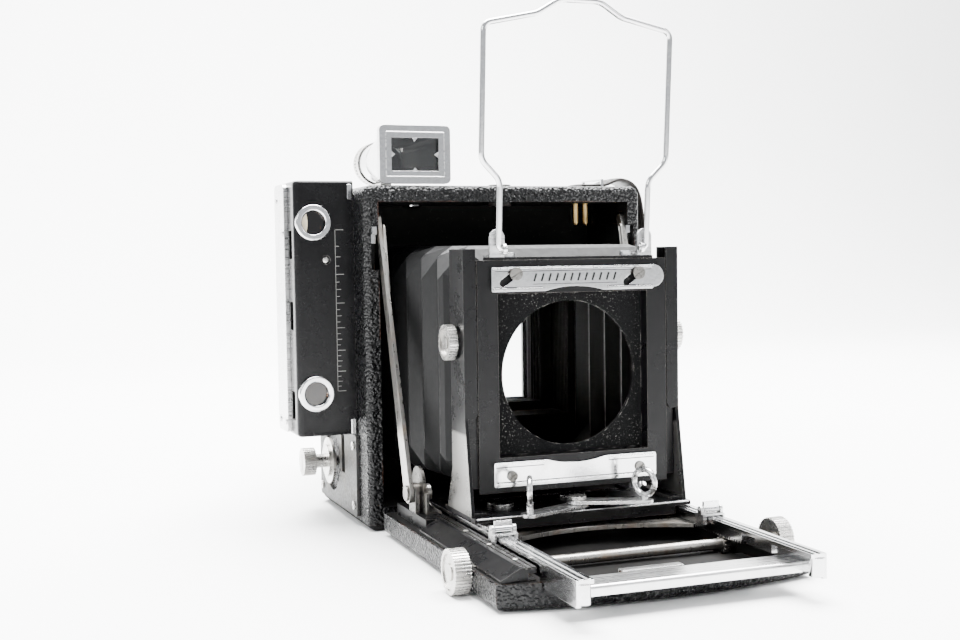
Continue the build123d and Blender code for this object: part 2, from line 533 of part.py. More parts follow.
with BuildPart() as bed_leather:
    extrude(bed_outline(0.6, 0.0), amount=BED_TOP - 0.6)
    fillet(bed_leather.faces().sort_by(Axis.Z)[0].edges().sort_by(Axis.Y)[:3], 3.0)
    add(bed_core.part, mode=Mode.SUBTRACT)
    slab((-45.0, 45.0), (FRONT - 136.5, BED_REAR - 4.0), (BED_RECESS, 10), mode=Mode.SUBTRACT)
    cut_rail_notches()
    rod_x((-61, 61), SHAFT_Y, SHAFT_Z, 2.8, mode=Mode.SUBTRACT)
save(bed_leather, "bed_leather")

GUIDE_BEND_Y = FRONT - 50.0
with BuildPart() as bed_guides:
    for side in (-1, 1):
        slab(sorted((side * 45.2, side * 55.0)), (GUIDE_BEND_Y, FRONT - 12.4), (BED_TOP, GUIDE_TOP))
        with BuildSketch(facing_front(GUIDE_BEND_Y)) as section:
            Polygon(
                (side * 45.2, BED_TOP), (side * 57.6, BED_TOP), (side * 57.6, 10.4),
                (side * 50.6, GUIDE_TOP), (side * 45.2, GUIDE_TOP), align=None,
            )
        extrude(section.sketch, amount=GUIDE_BEND_Y - (FRONT - 134.4))
        for x in (46.6, 48.6):
            ridge = sorted((side * (x - 0.35), side * (x + 0.35)))
            slab(ridge, (FRONT - 135, FRONT - 8), (GUIDE_TOP - 0.6, GUIDE_TOP + 1), mode=Mode.SUBTRACT)
        wing_slot = sorted((side * 45.0, side * 48.0))
        slab(wing_slot, (FRONT - 135, FRONT - 8), (9.9, 12.1), mode=Mode.SUBTRACT)
    rod_x((-60, 60), SHAFT_Y, SHAFT_Z, SHAFT_RADIUS + 0.4, mode=Mode.SUBTRACT)
save(bed_guides, "bed_guides")

with BuildPart() as strut_lugs:
    y, z = STRUT_LUG
    for side in (-1, 1):
        lug = sorted((side * 53.0, side * 54.8))
        rod_x(lug, y, z, 4.0)
        slab(lug, (y - 4.0, y + 4.0), (GUIDE_TOP, z))
        rod_x(sorted((side * 52.9, side * 56.95)), y, z, 1.8)
        rod_x(sorted((side * 56.95, side * 57.6)), y, z, 3.0)
        rod_x(sorted((side * 50.6, side * 51.8)), y + 2.0, z + 2.5, 7.6)
        rod_x(sorted((side * 51.7, side * 53.1)), y + 1.0, z + 1.0, 2.4)
        slab(sorted((side * 45.6, side * 51.0)), (y - 9.0, y + 4.0), (GUIDE_TOP, GUIDE_TOP + 1.0))
        slab(sorted((side * 50.6, side * 51.8)), (y - 9.0, y + 4.0), (GUIDE_TOP, z + 1.0))
save(strut_lugs, "strut_lugs")


# ---- focusing pinion ----
def involute(radius, base):
    """The involute function of the pressure angle at this radius."""
    angle = math.acos(base / radius)
    return math.tan(angle) - angle


def pinion_tooth():
    """Half outline points of one tooth that points along +Y of its sketch."""
    pressure = math.radians(20)
    base = PITCH_RADIUS * math.cos(pressure)
    half_pitch_angle = (math.pi * MODULE / 2 - 0.10) / (2 * PITCH_RADIUS)
    outline = [(2.2, half_pitch_angle + involute(PITCH_RADIUS, base))]
    for radius in (base, 2.95, 3.12, 3.26, PITCH_RADIUS + 0.8 * MODULE):
        outline.append((radius, half_pitch_angle + involute(PITCH_RADIUS, base) - involute(radius, base)))
    right = [(r * math.sin(a), r * math.cos(a)) for r, a in outline]
    left = [(-x, y) for x, y in reversed(right)]
    return right + left


with BuildPart() as focus_shaft:
    rod_x((-62.0, 62.0), SHAFT_Y, SHAFT_Z, SHAFT_RADIUS)
    for side in (-1, 1):
        inner = min(side * 39.6, side * 41.8)
        with BuildSketch(facing_x(inner, SHAFT_Y, SHAFT_Z)) as pinion:
            Circle(2.4)
            with PolarLocations(0, PINION_TEETH):
                Polygon(*pinion_tooth(), align=None)
        extrude(pinion.sketch, amount=2.2)
save(focus_shaft, "focus_shaft")

KNOB_RADIUS, KNOB_INNER, KNOB_OUTER = 7.8, 60.1, 65.9
with BuildPart() as focus_knobs:
    for side in (-1, 1):
        inner = min(side * KNOB_INNER, side * KNOB_OUTER)
        disc_plane = facing_x(inner, SHAFT_Y, SHAFT_Z)
        knurled_disc(disc_plane, KNOB_RADIUS, KNOB_OUTER - KNOB_INNER, 40, 0.42)
        rod_x(sorted((side * 59.0, side * 62.0)), SHAFT_Y, SHAFT_Z, SHAFT_RADIUS, mode=Mode.SUBTRACT)
        rod_x(sorted((side * (KNOB_OUTER - 0.5), side * 67.0)), SHAFT_Y, SHAFT_Z, 6.3, mode=Mode.SUBTRACT)
        rod_x(sorted((side * (KNOB_OUTER - 0.5), side * (KNOB_OUTER - 0.1))), SHAFT_Y, SHAFT_Z, 3.0)
save(focus_knobs, "focus_knobs")

# ---- focusing track ----
RACK_TEETH = 30
RACK_AHEAD = 9  # teeth in front of the pinion
RACK_PITCH = math.pi * MODULE
RACK_SPINE = RAIL_UNDER - SHAFT_Z - PITCH_RADIUS  # the rack's back, above its pitch line


def rack_comb(x):
    """The outline of one rack: teeth that point down to the pinion, under a thin spine."""
    flank = math.tan(math.radians(20))
    half = (RACK_PITCH / 2 - 0.10) / 2
    tip, root = half - 0.35 * flank, half + 0.6 * flank
    with BuildSketch(facing_x(x, SHAFT_Y, SHAFT_Z + PITCH_RADIUS)) as comb:
        for k in range(-RACK_AHEAD, RACK_TEETH - RACK_AHEAD):
            y = (k + 0.5) * RACK_PITCH
            Polygon((y - root, 0.6), (y - tip, -0.35), (y + tip, -0.35), (y + root, 0.6), align=None)
        with Locations(((RACK_TEETH / 2 - RACK_AHEAD) * RACK_PITCH, (0.6 + RACK_SPINE) / 2)):
            Rectangle(RACK_TEETH * RACK_PITCH, RACK_SPINE - 0.6)
    return comb.sketch


with BuildPart() as track_rails:
    for side in (-1, 1):
        rail = sorted((side * RAIL_INNER, side * RAIL_OUTER))
        slab(rail, (TRACK_FRONT, TRACK_REAR), (RAIL_UNDER, RAIL_TOP))
        front_web = sorted((side * 43.3, side * RAIL_OUTER))
        slab(front_web, (TRACK_FRONT, FRONT - 136.0), (7.8, RAIL_UNDER))
        web = sorted((side * 42.2, side * 43.8))
        slab(web, (FRONT - 136.0, TRACK_REAR), (10.3, RAIL_UNDER))
        slab(sorted((side * 43.8, side * 47.2)), (FRONT - 94.0, TRACK_REAR), (10.3, 11.7))
        for x in (39.9, 42.3):
            ridge = sorted((side * x, side * (x + 0.9)))
            slab(ridge, (TRACK_FRONT, FRONT - 60), (RAIL_TOP, RAIL_TOP + 0.3))
        rod_z(side * 42.0, TRACK_FRONT + 1.6, (8.6, RAIL_UNDER), 2.6)
    for side in (-1, 1):
        extrude(rack_comb(min(side * 39.4, side * 42.0)), amount=2.6)
save(track_rails, "track_rails")

with BuildPart() as track_bars:
    slab((-43.3, 43.3), (FRONT - 152.5, FRONT - 141.0), (9.9, 10.9))
    slab((-43.3, 43.3), (FRONT - 152.5, FRONT - 150.9), (7.4, 10.9))
    fillet(track_bars.edges().filter_by(Axis.X).group_by(Axis.Y)[0].sort_by(Axis.Z)[-1], 1.2)
    for side in (-1, 1):
        saddle = (STOP_Y - 3.0, STOP_Y + 3.0)
        slab(sorted((side * 37.6, side * 45.9)), saddle, (RAIL_TOP + 0.5, RAIL_TOP + 1.1))
        slab(sorted((side * 37.0, side * 38.4)), saddle, (13.6, RAIL_TOP + 1.1))
        slab(sorted((side * 45.2, side * 45.9)), saddle, (14.3, RAIL_TOP + 1.1))
        for x in ((37.0, 38.2), (45.2, 46.2)):
            rod_x(sorted((side * x[0], side * x[1])), STOP_Y, 18.6, 1.4)
            slab(sorted((side * x[0], side * x[1])), (STOP_Y - 1.4, STOP_Y + 1.4), (RAIL_TOP + 1.0, 18.6))
        rod_x(sorted((side * 36.6, side * 46.6)), STOP_Y, 18.6, 0.6)
save(track_bars, "track_bars")

with BuildPart() as track_yoke:
    with BuildSketch(Plane.XY.offset(10.3)):
        with BuildLine():
            Polyline(
                (-39.2, FRONT - 88.0), (-39.2, FRONT - 72.0), (-42.2, FRONT - 72.0), (-42.2, FRONT - 60.0),
                (42.2, FRONT - 60.0), (42.2, FRONT - 72.0), (39.2, FRONT - 72.0), (39.2, FRONT - 88.0),
            )
            ThreePointArc((39.2, FRONT - 88.0), (0.0, FRONT - 77.0), (-39.2, FRONT - 88.0))
        make_face()
    extrude(amount=1.6)
save(track_yoke, "track_yoke")

for name, side in (("infinity_stop_left", -1), ("infinity_stop_right", 1)):
    with BuildPart() as stop:
        rod_x(sorted((side * 38.5, side * 44.9)), STOP_Y, 18.6, 1.2)
        slab(sorted((side * 38.5, side * 44.9)), (STOP_Y - 0.7, STOP_Y + 0.5), (18.6, 21.6))
        rod_x(sorted((side * 38.0, side * 45.5)), STOP_Y, 18.6, 0.65, mode=Mode.SUBTRACT)
    save(stop, name)

# ---- front standard ----
with BuildPart() as standard_base:
    slab((-44.7, 44.7), (FRONT - 76.0, FRONT - 43.0), (BASE_LOW, BASE_HIGH))
    slab((-38.0, 38.0), (FRONT - 76.0, FRONT - 74.0), (13.5, BASE_LOW))
    for side in (-1, 1):
        slab(sorted((side * 36.6, side * 38.3)), (FRONT - 74.0, FRONT - 46.0), (13.4, BASE_LOW))
        slab(sorted((side * 38.2, side * 39.2)), (FRONT - 72.0, FRONT - 48.0), (13.4, 14.5))
    front_edges = standard_base.edges().filter_by(Axis.X).group_by(Axis.Y)[0]
    fillet(front_edges.sort_by(Axis.Z)[-1], 1.0)
save(standard_base, "standard_base")

with BuildPart() as standard_uprights:
    for side in (-1, 1):
        inner = min(side * 43.4, side * 44.7)
        with BuildSketch(facing_x(inner)) as gusset:
            with BuildLine():
                Polyline(
                    (FRONT - 72.6, BASE_HIGH), (FRONT - 67.0, 53.5), (FRONT - 67.0, 116.8),
                    (FRONT - 52.0, 116.8), (FRONT - 52.0, 34.0), (FRONT - 46.0, BASE_HIGH),
                    (FRONT - 72.6, BASE_HIGH),
                )
            make_face()
        extrude(gusset.sketch, amount=1.3)
        slab(sorted((side * 38.4, side * 44.7)), (FRONT - 72.0, FRONT - 46.4), (BASE_HIGH, BASE_HIGH + 1.2))
        lip_middle = side * 42.2
        with BuildSketch(facing_front(FRONT - 66.0, lip_middle)) as lip:
            with Locations((0, (56.0 + 116.8) / 2)):
                Rectangle(5.0, 116.8 - 56.0)
            with Locations((0, 56.0)):
                Circle(2.5)
        extrude(lip.sketch, amount=1.0)
        slab(sorted((side * 39.7, side * 43.5)), (FRONT - 60.3, FRONT - 59.3), (53.5, 116.8))
    rod_x((-50, 50), KNOB_Y, KNOB_Z, 1.5 + SHAFT_GAP, mode=Mode.SUBTRACT)
save(standard_uprights, "standard_uprights")

with BuildPart() as clamp_studs:
    for x, y in ((-26.3, FRONT - 54.5), (6.4, FRONT - 49.0)):
        rod_z(x, y, (BASE_HIGH, BASE_HIGH + 1.3), 5.2)
    fillet(clamp_studs.edges().group_by(Axis.Z)[-1], 0.5)
    rod_z(*LEVER_STUD, (BASE_HIGH, 22.9), 1.8)
    rod_z(*LEVER_STUD, (21.5, 22.9), 3.4)
    rod_z(*LEVER_STUD, (BASE_HIGH, BASE_HIGH + 0.2), 3.2)
save(clamp_studs, "clamp_studs")

RING_Z = 27.9
for name, ring_x, low in (("pinch_lever_left", -25.0, 18.6), ("pinch_lever_right", 22.0, 20.1)):
    side = -1 if ring_x < 0 else 1
    ring_y = FRONT - 81.0
    with BuildPart() as lever:
        with BuildSketch(Plane.XY.offset(low)):
            with Locations(LEVER_STUD):
                Circle(4.0)
            with Locations((ring_x, ring_y)):
                Circle(3.4)
            make_hull()
        extrude(amount=1.2)
        ring_plane = Plane(origin=(ring_x, ring_y, RING_Z), z_dir=(-side * 0.923, -0.384, 0))
        with Locations(ring_plane.location):
            Torus(4.9, 1.05)
        rod_z(ring_x, ring_y, (low, RING_Z - 4.2), 1.3)
        rod_z(*LEVER_STUD, (low - 1, low + 2), 1.8 + SHAFT_GAP, mode=Mode.SUBTRACT)
    save(lever, name)

for name, side in (("rise_knob_left", -1), ("rise_knob_right", 1)):
    with BuildPart() as knob:
        rod_x(sorted((side * 43.0, side * 46.2)), KNOB_Y, KNOB_Z, 1.5)
        rod_x(sorted((side * 45.0, side * 46.2)), KNOB_Y, KNOB_Z, 3.4)
        knurled_disc(facing_x(min(side * 45.6, side * 49.0), KNOB_Y, KNOB_Z), 6.7, 3.4, 32, 0.42)
        rod_x(sorted((side * 48.1, side * 50.0)), KNOB_Y, KNOB_Z, 5.2, mode=Mode.SUBTRACT)
        rod_x(sorted((side * 48.0, side * 48.8)), KNOB_Y, KNOB_Z, 3.0)
        with BuildSketch(facing_x(min(side * 48.4, side * 49.4), KNOB_Y, KNOB_Z)) as driver_slot:
            Rectangle(0.8, 6.2)
        extrude(driver_slot.sketch, amount=1.0, mode=Mode.SUBTRACT)
    save(knob, name)

# ---- lens frame ----
with BuildPart() as lens_frame:
    slab((-FRAME_HALF, FRAME_HALF), (FRAME_FRONT, FRAME_BACK), (FRAME_LOW, FRAME_HIGH))
    for side in (-1, 1):
        tongue = sorted((side * FRAME_HALF, side * 43.0))
        slab(tongue, (FRONT - 65.6, FRONT - 60.7), (FRAME_LOW + 2, FRAME_HIGH - 1))
    slab((-31.0, 31.0), (FRAME_FRONT - 1, FRONT - 60.5), (38.5, 100.0), mode=Mode.SUBTRACT)
    slab((-29.2, 29.2), (FRONT - 61, FRAME_BACK + 1), (40.3, 98.2), mode=Mode.SUBTRACT)
    slab((-34.0, 34.0), (FRONT - 66.5, FRONT - 60.0), (FRAME_HIGH, FRAME_HIGH + 1.1))
save(lens_frame, "lens_frame")

with BuildPart() as lens_board:
    slab((-30.9, 30.9), (FRONT - 62.1, FRONT - 60.6), (38.6, 99.9))
    rod_y(0, (FRONT - 64, FRONT - 59), APERTURE_Z, APERTURE_RADIUS, mode=Mode.SUBTRACT)
save(lens_board, "lens_board")


def clip_face(plane, width, height, arc_radius, arc_centre):
    """A clip plate seen from the front with a shallow arc cut from one long edge."""
    with BuildSketch(plane) as face:
        RectangleRounded(width, height, 0.8)
        with Locations((0, arc_centre)):
            Circle(arc_radius, mode=Mode.SUBTRACT)
    return face.sketch


ARC_RADIUS = 43.0
LOWER_MIDDLE, CLIP_HEIGHT = 32.3, 9.2
with BuildPart() as lower_clip:
    plane = facing_front(FRONT - 67.0, 0, LOWER_MIDDLE)
    extrude(clip_face(plane, 67.6, CLIP_HEIGHT, ARC_RADIUS, ARC_RADIUS + CLIP_HEIGHT / 2 - 1.7), amount=1.4)
    for z in (LOWER_MIDDLE - CLIP_HEIGHT / 2 + 1.1, LOWER_MIDDLE + CLIP_HEIGHT / 2 - 1.1):
        for x in ((-33.0, -13.5), (13.5, 33.0)):
            slab(x, (FRONT - 68.9, FRONT - 68.3), (z - 0.5, z + 0.5))
    slab((-33.0, 33.0), (FRONT - 68.9, FRONT - 68.3), (LOWER_MIDDLE - 4.0, LOWER_MIDDLE - 3.0))
save(lower_clip, "lower_clip")

UPPER_MIDDLE = 105.3
SLIDE_ANGLE = math.degrees(math.atan2(3.4, 4.8))
SLIDE_TRAVEL = math.hypot(3.4, 4.8)
UPPER_SCREWS = ((-24.6, 107.4), (26.4, 106.9))
with BuildPart() as upper_clip:
    plane = facing_front(FRONT - 67.3, -0.4, UPPER_MIDDLE)
    extrude(clip_face(plane, 67.2, CLIP_HEIGHT, ARC_RADIUS, -ARC_RADIUS - CLIP_HEIGHT / 2 + 1.7), amount=1.4)
    rod_y(33.4, (FRONT - 68.7, FRONT - 67.3), UPPER_MIDDLE + 0.4, 4.2)
    slab((-33.4, 32.6), (FRONT - 69.1, FRONT - 68.6), (UPPER_MIDDLE + 3.2, UPPER_MIDDLE + 4.1))
    for x in ((-33.4, -13.5), (13.5, 32.6)):
        slab(x, (FRONT - 69.1, FRONT - 68.6), (UPPER_MIDDLE - 4.1, UPPER_MIDDLE - 3.2))
    for x, z in UPPER_SCREWS:
        with BuildSketch(facing_front(FRONT - 67.0, x - 2.4, z - 1.7)) as slot:
            SlotCenterToCenter(SLIDE_TRAVEL, 2.9, rotation=SLIDE_ANGLE)
        extrude(slot.sketch, amount=3.0, mode=Mode.SUBTRACT)
save(upper_clip, "upper_clip")

with BuildPart() as clip_screws:
    for x, z in UPPER_SCREWS:
        rod_y(x, (FRONT - 69.6, FRONT - 67.0), z, 1.3)
    screw_heads(UPPER_SCREWS, lambda x, z: facing_front(FRONT - 69.4, x, z), 2.5, 0.8)
    screw_heads(
        [(-26.7, 31.7), (26.7, 31.7)],
        lambda x, z: facing_front(FRONT - 68.4, x, z),
        2.0,
        0.7,
    )
save(clip_screws, "clip_screws")

with BuildPart() as hoop_brackets:
    for side in (-1, 1):
        rod_z(side * 24.6, FRONT - 62.0, (FRAME_HIGH + 1.1, FRAME_HIGH + 2.9), 2.6)
        with BuildSketch(facing_front(HOOP_Y + 2.1, side * 30.7)) as clip:
            with Locations((0, 117.3)):
                Rectangle(6.0, 7.4)
            with Locations((0, 121.0)):
                Circle(3.0)
        extrude(clip.sketch, amount=0.8)
        foot = sorted((side * 27.7, side * 33.7))
        slab(foot, (HOOP_Y + 2.1, FRONT - 59.0), (FRAME_HIGH + 1.1, FRAME_HIGH + 2.0))
        ear = sorted((side * 28.0, side * 29.2))
        rod_x(ear, HOOP_Y, HOOP_Z, 2.1)
        slab(ear, (HOOP_Y, HOOP_Y + 2.0), (HOOP_Z - 2.1, HOOP_Z + 2.1))
    rod_x((-30, 30), HOOP_Y, HOOP_Z, WIRE_RADIUS + 0.06, mode=Mode.SUBTRACT)
save(hoop_brackets, "hoop_brackets")

HOOP_LEAN = 0.0826  # forward per unit of height
lean = math.hypot(1, HOOP_LEAN)
hoop_plane = Plane(
    origin=(0, HOOP_Y, HOOP_Z), x_dir=(1, 0, 0), z_dir=(0, -1 / lean, -HOOP_LEAN / lean)
)
with BuildPart() as wire_hoop:
    with BuildLine(hoop_plane) as hoop_path:
        half_hoop = [
            (-27.4, 0), (-30.6, 0), (-30.6, 25.5), (-38.0, 33.0), (-38.0, 82.0), (-17.0, 86.5), (-8.0, 91.9),
        ]
        points = half_hoop + [(-x, z) for x, z in reversed(half_hoop)]
        bends = [1.6, 6, 6, 3.5, 9, 9]
        FilletPolyline(*points, radius=bends + bends[::-1])
    with BuildSketch(Plane(origin=hoop_path.line @ 0, z_dir=hoop_path.line % 0)):
        Circle(WIRE_RADIUS)
    sweep()
save(wire_hoop, "wire_hoop")


# ---- bed struts ----
def strut_arm(side):
    """A flat arm from the bed's lug up to the pin that runs in the body's groove."""
    (lug_y, lug_z), (top_y, top_z) = STRUT_LUG, STRUT_TOP
    with BuildSketch(facing_x(min(side * STRUT_IN, side * STRUT_OUT))) as outline:
        with Locations((lug_y, lug_z)):
            Circle(4.0)
        with Locations((top_y, top_z)):
            Circle(2.0)
        make_hull()
    extrude(outline.sketch, amount=STRUT_OUT - STRUT_IN)
    rod_x(sorted((side * 54.0, side * 58.0)), lug_y, lug_z, 1.8 + SHAFT_GAP, mode=Mode.SUBTRACT)
    rod_x(sorted((side * (STRUT_OUT - 0.2), side * (INSIDE + 2.2))), top_y, top_z, 1.5)


for name, side in (("strut_left", -1), ("strut_right", 1)):
    with BuildPart() as strut:
        strut_arm(side)
        spring_x = side * 54.6
        with BuildLine(Plane(origin=(spring_x, 0, 0), x_dir=(0, 1, 0), z_dir=(1, 0, 0))) as wire:
            FilletPolyline(
                (FRONT + 1.0, 118.0), (FRONT + 3.8, 129.8), (FRONT + 0.6, 126.0), (FRONT - 5.0, 100.0),
                radius=[0.9, 2.0],
            )
        with BuildSketch(Plane(origin=wire.line @ 0, z_dir=wire.line % 0)):
            Circle(0.62)
        sweep()
    save(strut, name)


# ---- bellows ----
def bellows_outline(y, wall):
    """The bellows' section at a distance: a rectangle with cut corners that tapers to the front."""
    depth = BULKHEAD_Y - (FRONT - 48.5)
    share = (y - (FRONT - 48.5)) / depth
    half = 45.5 + 5.5 * share - wall
    low = 27.0 - 4.5 * share + wall
    high = 117.6 + 1.4 * share - wall
    corner = 9.0
    return [
        (-half, low + corner), (-half, high - corner), (-half + corner, high), (half - corner, high),
        (half, high - corner), (half, low + corner), (half - corner, low), (-half + corner, low),
    ]


BELLOWS_WALL = 5.0
for name, front_y, rear_y in (
    ("bellows_rear", FRONT - 2.0, BULKHEAD_Y),
    ("bellows_middle", FRONT - 22.0, FRONT - 2.2),
    ("bellows_front", FRONT - 48.0, FRONT - 22.2),
):
    with BuildPart() as zone:
        for wall, mode in ((0.0, Mode.ADD), (BELLOWS_WALL, Mode.SUBTRACT)):
            for y in (rear_y, front_y):
                with BuildSketch(facing_front(y)):
                    Polygon(*bellows_outline(y, wall), align=None)
            loft(mode=mode)
    save(zone, name)

with BuildPart() as bellows_collar:
    slab((-38.0, 38.0), (FRONT - 57.8, FRONT - 48.2), (28.5, 110.0))
    slab((-35.0, 35.0), (FRONT - 59, FRONT - 47), (34.0, 104.5), mode=Mode.SUBTRACT)
save(bellows_collar, "bellows_collar")
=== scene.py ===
import math

import bmesh
import bpy
from mathutils import Matrix, Vector


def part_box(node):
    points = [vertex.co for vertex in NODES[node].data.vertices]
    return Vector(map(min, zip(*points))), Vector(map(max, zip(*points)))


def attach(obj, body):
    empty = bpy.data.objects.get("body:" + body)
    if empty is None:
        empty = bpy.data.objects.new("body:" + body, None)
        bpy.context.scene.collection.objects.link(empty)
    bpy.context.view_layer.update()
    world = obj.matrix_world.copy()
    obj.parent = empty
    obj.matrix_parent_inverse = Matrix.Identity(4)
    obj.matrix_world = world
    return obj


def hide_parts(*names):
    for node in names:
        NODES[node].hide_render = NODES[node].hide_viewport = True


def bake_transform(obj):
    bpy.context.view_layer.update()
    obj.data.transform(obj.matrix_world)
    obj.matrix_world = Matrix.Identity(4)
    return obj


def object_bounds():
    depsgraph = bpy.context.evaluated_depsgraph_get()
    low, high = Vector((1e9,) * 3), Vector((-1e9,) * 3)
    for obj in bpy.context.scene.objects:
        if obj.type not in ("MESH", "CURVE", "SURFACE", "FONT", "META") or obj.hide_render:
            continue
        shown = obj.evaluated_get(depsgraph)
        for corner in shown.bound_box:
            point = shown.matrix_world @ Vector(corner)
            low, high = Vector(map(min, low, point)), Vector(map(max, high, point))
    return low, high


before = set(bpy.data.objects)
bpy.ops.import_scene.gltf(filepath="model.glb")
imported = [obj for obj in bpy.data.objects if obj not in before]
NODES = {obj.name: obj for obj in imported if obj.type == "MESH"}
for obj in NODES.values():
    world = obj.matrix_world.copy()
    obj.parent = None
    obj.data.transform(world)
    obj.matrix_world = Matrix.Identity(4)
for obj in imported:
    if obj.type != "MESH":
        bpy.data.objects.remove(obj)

CAD_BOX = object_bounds()
MM = 0.001


# ---- materials ----
class Shade:
    """One procedural material. Its calls add the nodes that feed its shader."""

    def __init__(self, name, **values):
        self.made = bpy.data.materials.new(name)
        self.made.use_nodes = True
        self.tree = self.made.node_tree
        self.shader = self.tree.nodes["Principled BSDF"]
        for key, value in values.items():
            self.shader.inputs[key.replace("_", " ")].default_value = value
        self.place = self.node("TexCoord").outputs["Object"]

    def node(self, kind, **values):
        """A node of a kind. A value is a setting, an input's value, or the socket that feeds an input."""
        made = self.tree.nodes.new("ShaderNode" + kind)
        for key, value in values.items():
            if hasattr(made, key):
                setattr(made, key, value)
                continue
            socket = made.inputs[int(key[1:]) if key[1:].isdigit() else key.replace("_", " ")]
            if isinstance(value, bpy.types.NodeSocket):
                self.tree.links.new(value, socket)
            else:
                socket.default_value = value
        return made

    def feed(self, name, socket):
        self.tree.links.new(socket, self.shader.inputs[name])

    def stretched(self, x=1.0, y=1.0, z=1.0):
        """The object's own coordinates, stretched."""
        return self.node("Mapping", Vector=self.place, Scale=(x, y, z)).outputs["Vector"]

    def noise(self, scale, detail=3.0, rough=0.55, place=None):
        made = self.node("TexNoise", Vector=place or self.place, Scale=scale, Detail=detail, Roughness=rough)
        return made.outputs["Fac"]

    def cells(self, scale, feature="F1", place=None):
        made = self.node("TexVoronoi", Vector=place or self.place, Scale=scale, feature=feature)
        return made.outputs["Distance"]

    def range(self, value, low, high, to_low=0.0, to_high=1.0):
        made = self.node("MapRange", Value=value, clamp=True)
        for socket, number in zip(made.inputs[1:5], (low, high, to_low, to_high)):
            socket.default_value = number
        return made.outputs["Result"]

    def math(self, operation, a, b=0.0):
        made = self.node("Math", operation=operation, i0=a, i1=b)
        return made.outputs["Value"]

    def blend(self, share, a, b):
        """Colour a where the share is 0 and colour b where it is 1."""
        made = self.node("Mix", data_type="RGBA")
        for key, value in ((0, share), (6, a), (7, b)):
            if isinstance(value, bpy.types.NodeSocket):
                self.tree.links.new(value, made.inputs[key])
            else:
                made.inputs[key].default_value = value if key == 0 else tuple(value) + (1.0,)
        return made.outputs[2]

    def edges(self, radius, low=0.02, high=0.2):
        """1 along the sharp edges and 0 on the flats."""
        soft = self.node("Bevel", samples=4, Radius=radius).outputs["Normal"]
        true = self.node("NewGeometry").outputs["Normal"]
        dot = self.node("VectorMath", operation="DOT_PRODUCT", i0=soft, i1=true).outputs["Value"]
        return self.range(self.math("SUBTRACT", 1.0, dot), low, high)

    def bump(self, height, distance, strength=1.0, rounded=0.0):
        """Relief from a height, over edges that are rounded by a radius."""
        made = self.node("Bump", Height=height, Distance=distance, Strength=strength)
        if rounded:
            soft = self.node("Bevel", samples=4, Radius=rounded).outputs["Normal"]
            self.tree.links.new(soft, made.inputs["Normal"])
        self.feed("Normal", made.outputs["Normal"])


def make_leather():
    """Pebbled leathercloth, rubbed brown at the corners, with a painted highlight on the grain's tops and
    painted shade between them.
    """
    shade = Shade("leather_grain", Roughness=0.34, Specular_IOR_Level=0.2)
    pebbles = shade.cells(950.0, "SMOOTH_F1")
    waves = shade.noise(520.0, 2.0)
    height = shade.math("ADD", shade.math("MULTIPLY", pebbles, -1.0), shade.math("MULTIPLY", waves, 0.6))
    rub = shade.math("MULTIPLY", shade.edges(1.2 * MM, 0.06, 0.4), shade.range(shade.noise(60.0), 0.5, 0.66))
    # Painted shade: the hollows between the pebbles are darker and the pebble tops lighter.
    base = shade.blend(shade.range(pebbles, 0.1, 0.6), (0.0062, 0.0064, 0.0068), (0.0008, 0.0008, 0.0009))
    shade.feed("Base Color", shade.blend(shade.math("MULTIPLY", rub, 0.7), base, (0.075, 0.03, 0.018)))
    shade.feed("Roughness", shade.range(shade.noise(400.0), 0.35, 0.7, 0.2, 0.34))
    shade.bump(height, 0.85 * MM, 1.0)
    return shade.made


def make_enamel(
    name, wear_and_highlight=0.6, gloss=0.28, chip_and_highlight_colour=(0.34, 0.31, 0.27), colour=(0.0028, 0.0028, 0.0031), bare_below=None
):
    """Old black enamel with chipped edges, hairline scratches, dust and a thin painted highlight along every
    edge. It can be bare low on its sides.
    """
    shade = Shade(name, Roughness=gloss, Specular_IOR_Level=0.14)
    # Painted highlight: a thin pale line along every edge, in the chip colour.
    edge_highlight = shade.math("MULTIPLY", shade.edges(0.3 * MM, 0.04, 0.2), 0.22 * min(1.0, wear_and_highlight * 2))
    ragged = shade.range(shade.noise(900.0, 5.0, 0.7), 0.52, 0.62)
    where = shade.range(shade.noise(70.0, 2.0), 0.47, 0.6)
    edge = shade.math("MULTIPLY", shade.edges(0.28 * MM, 0.08, 0.28), shade.math("MULTIPLY", ragged, where))
    scratch_place = shade.stretched(260.0, 900.0, 90.0)
    scratches = shade.range(shade.noise(1.0, 5.0, 0.7, scratch_place), 0.73, 0.76)
    specks = shade.range(shade.cells(700.0), 0.0, 0.07, 1.0, 0.0)
    specks = shade.math("MULTIPLY", specks, shade.range(shade.noise(160.0), 0.58, 0.66))
    marks_and_highlight = shade.math("MULTIPLY", scratches, 0.25)
    marks_and_highlight = shade.math("MAXIMUM", marks_and_highlight, shade.math("MULTIPLY", specks, 0.35))
    marks_and_highlight = shade.math("MAXIMUM", marks_and_highlight, edge_highlight)
    metal = shade.math("MULTIPLY", edge, 0.8 * wear_and_highlight)
    # This mask holds real chips, scratches and dust, and also the painted edge highlight.
    worn = shade.math("MAXIMUM", shade.math("MULTIPLY", edge, wear_and_highlight), marks_and_highlight)
    if bare_below is not None:
        height = shade.node("SeparateXYZ", Vector=shade.place).outputs["Z"]
        across = shade.node("SeparateXYZ", Vector=shade.node("NewGeometry").outputs["Normal"]).outputs["X"]
        sideways = shade.range(shade.math("ABSOLUTE", across), 0.6, 0.8)
        low = shade.range(height, bare_below - 0.6 * MM, bare_below + 0.6 * MM, 1.0, 0.0)
        bare = shade.math("MULTIPLY", shade.math("MULTIPLY", sideways, low), 0.85)
        worn, metal = shade.math("MAXIMUM", worn, bare), shade.math("MAXIMUM", metal, bare)
    shade.feed("Base Color", shade.blend(worn, colour, chip_and_highlight_colour))
    shade.feed("Metallic", metal)
    smears = shade.noise(75.0, 5.0, 0.65)
    shade.feed("Roughness", shade.range(smears, 0.3, 0.7, gloss - 0.06, gloss + 0.1))
    shade.bump(shade.noise(900.0, 3.0), 0.03 * MM, 0.3, rounded=0.35 * MM)
    return shade.made


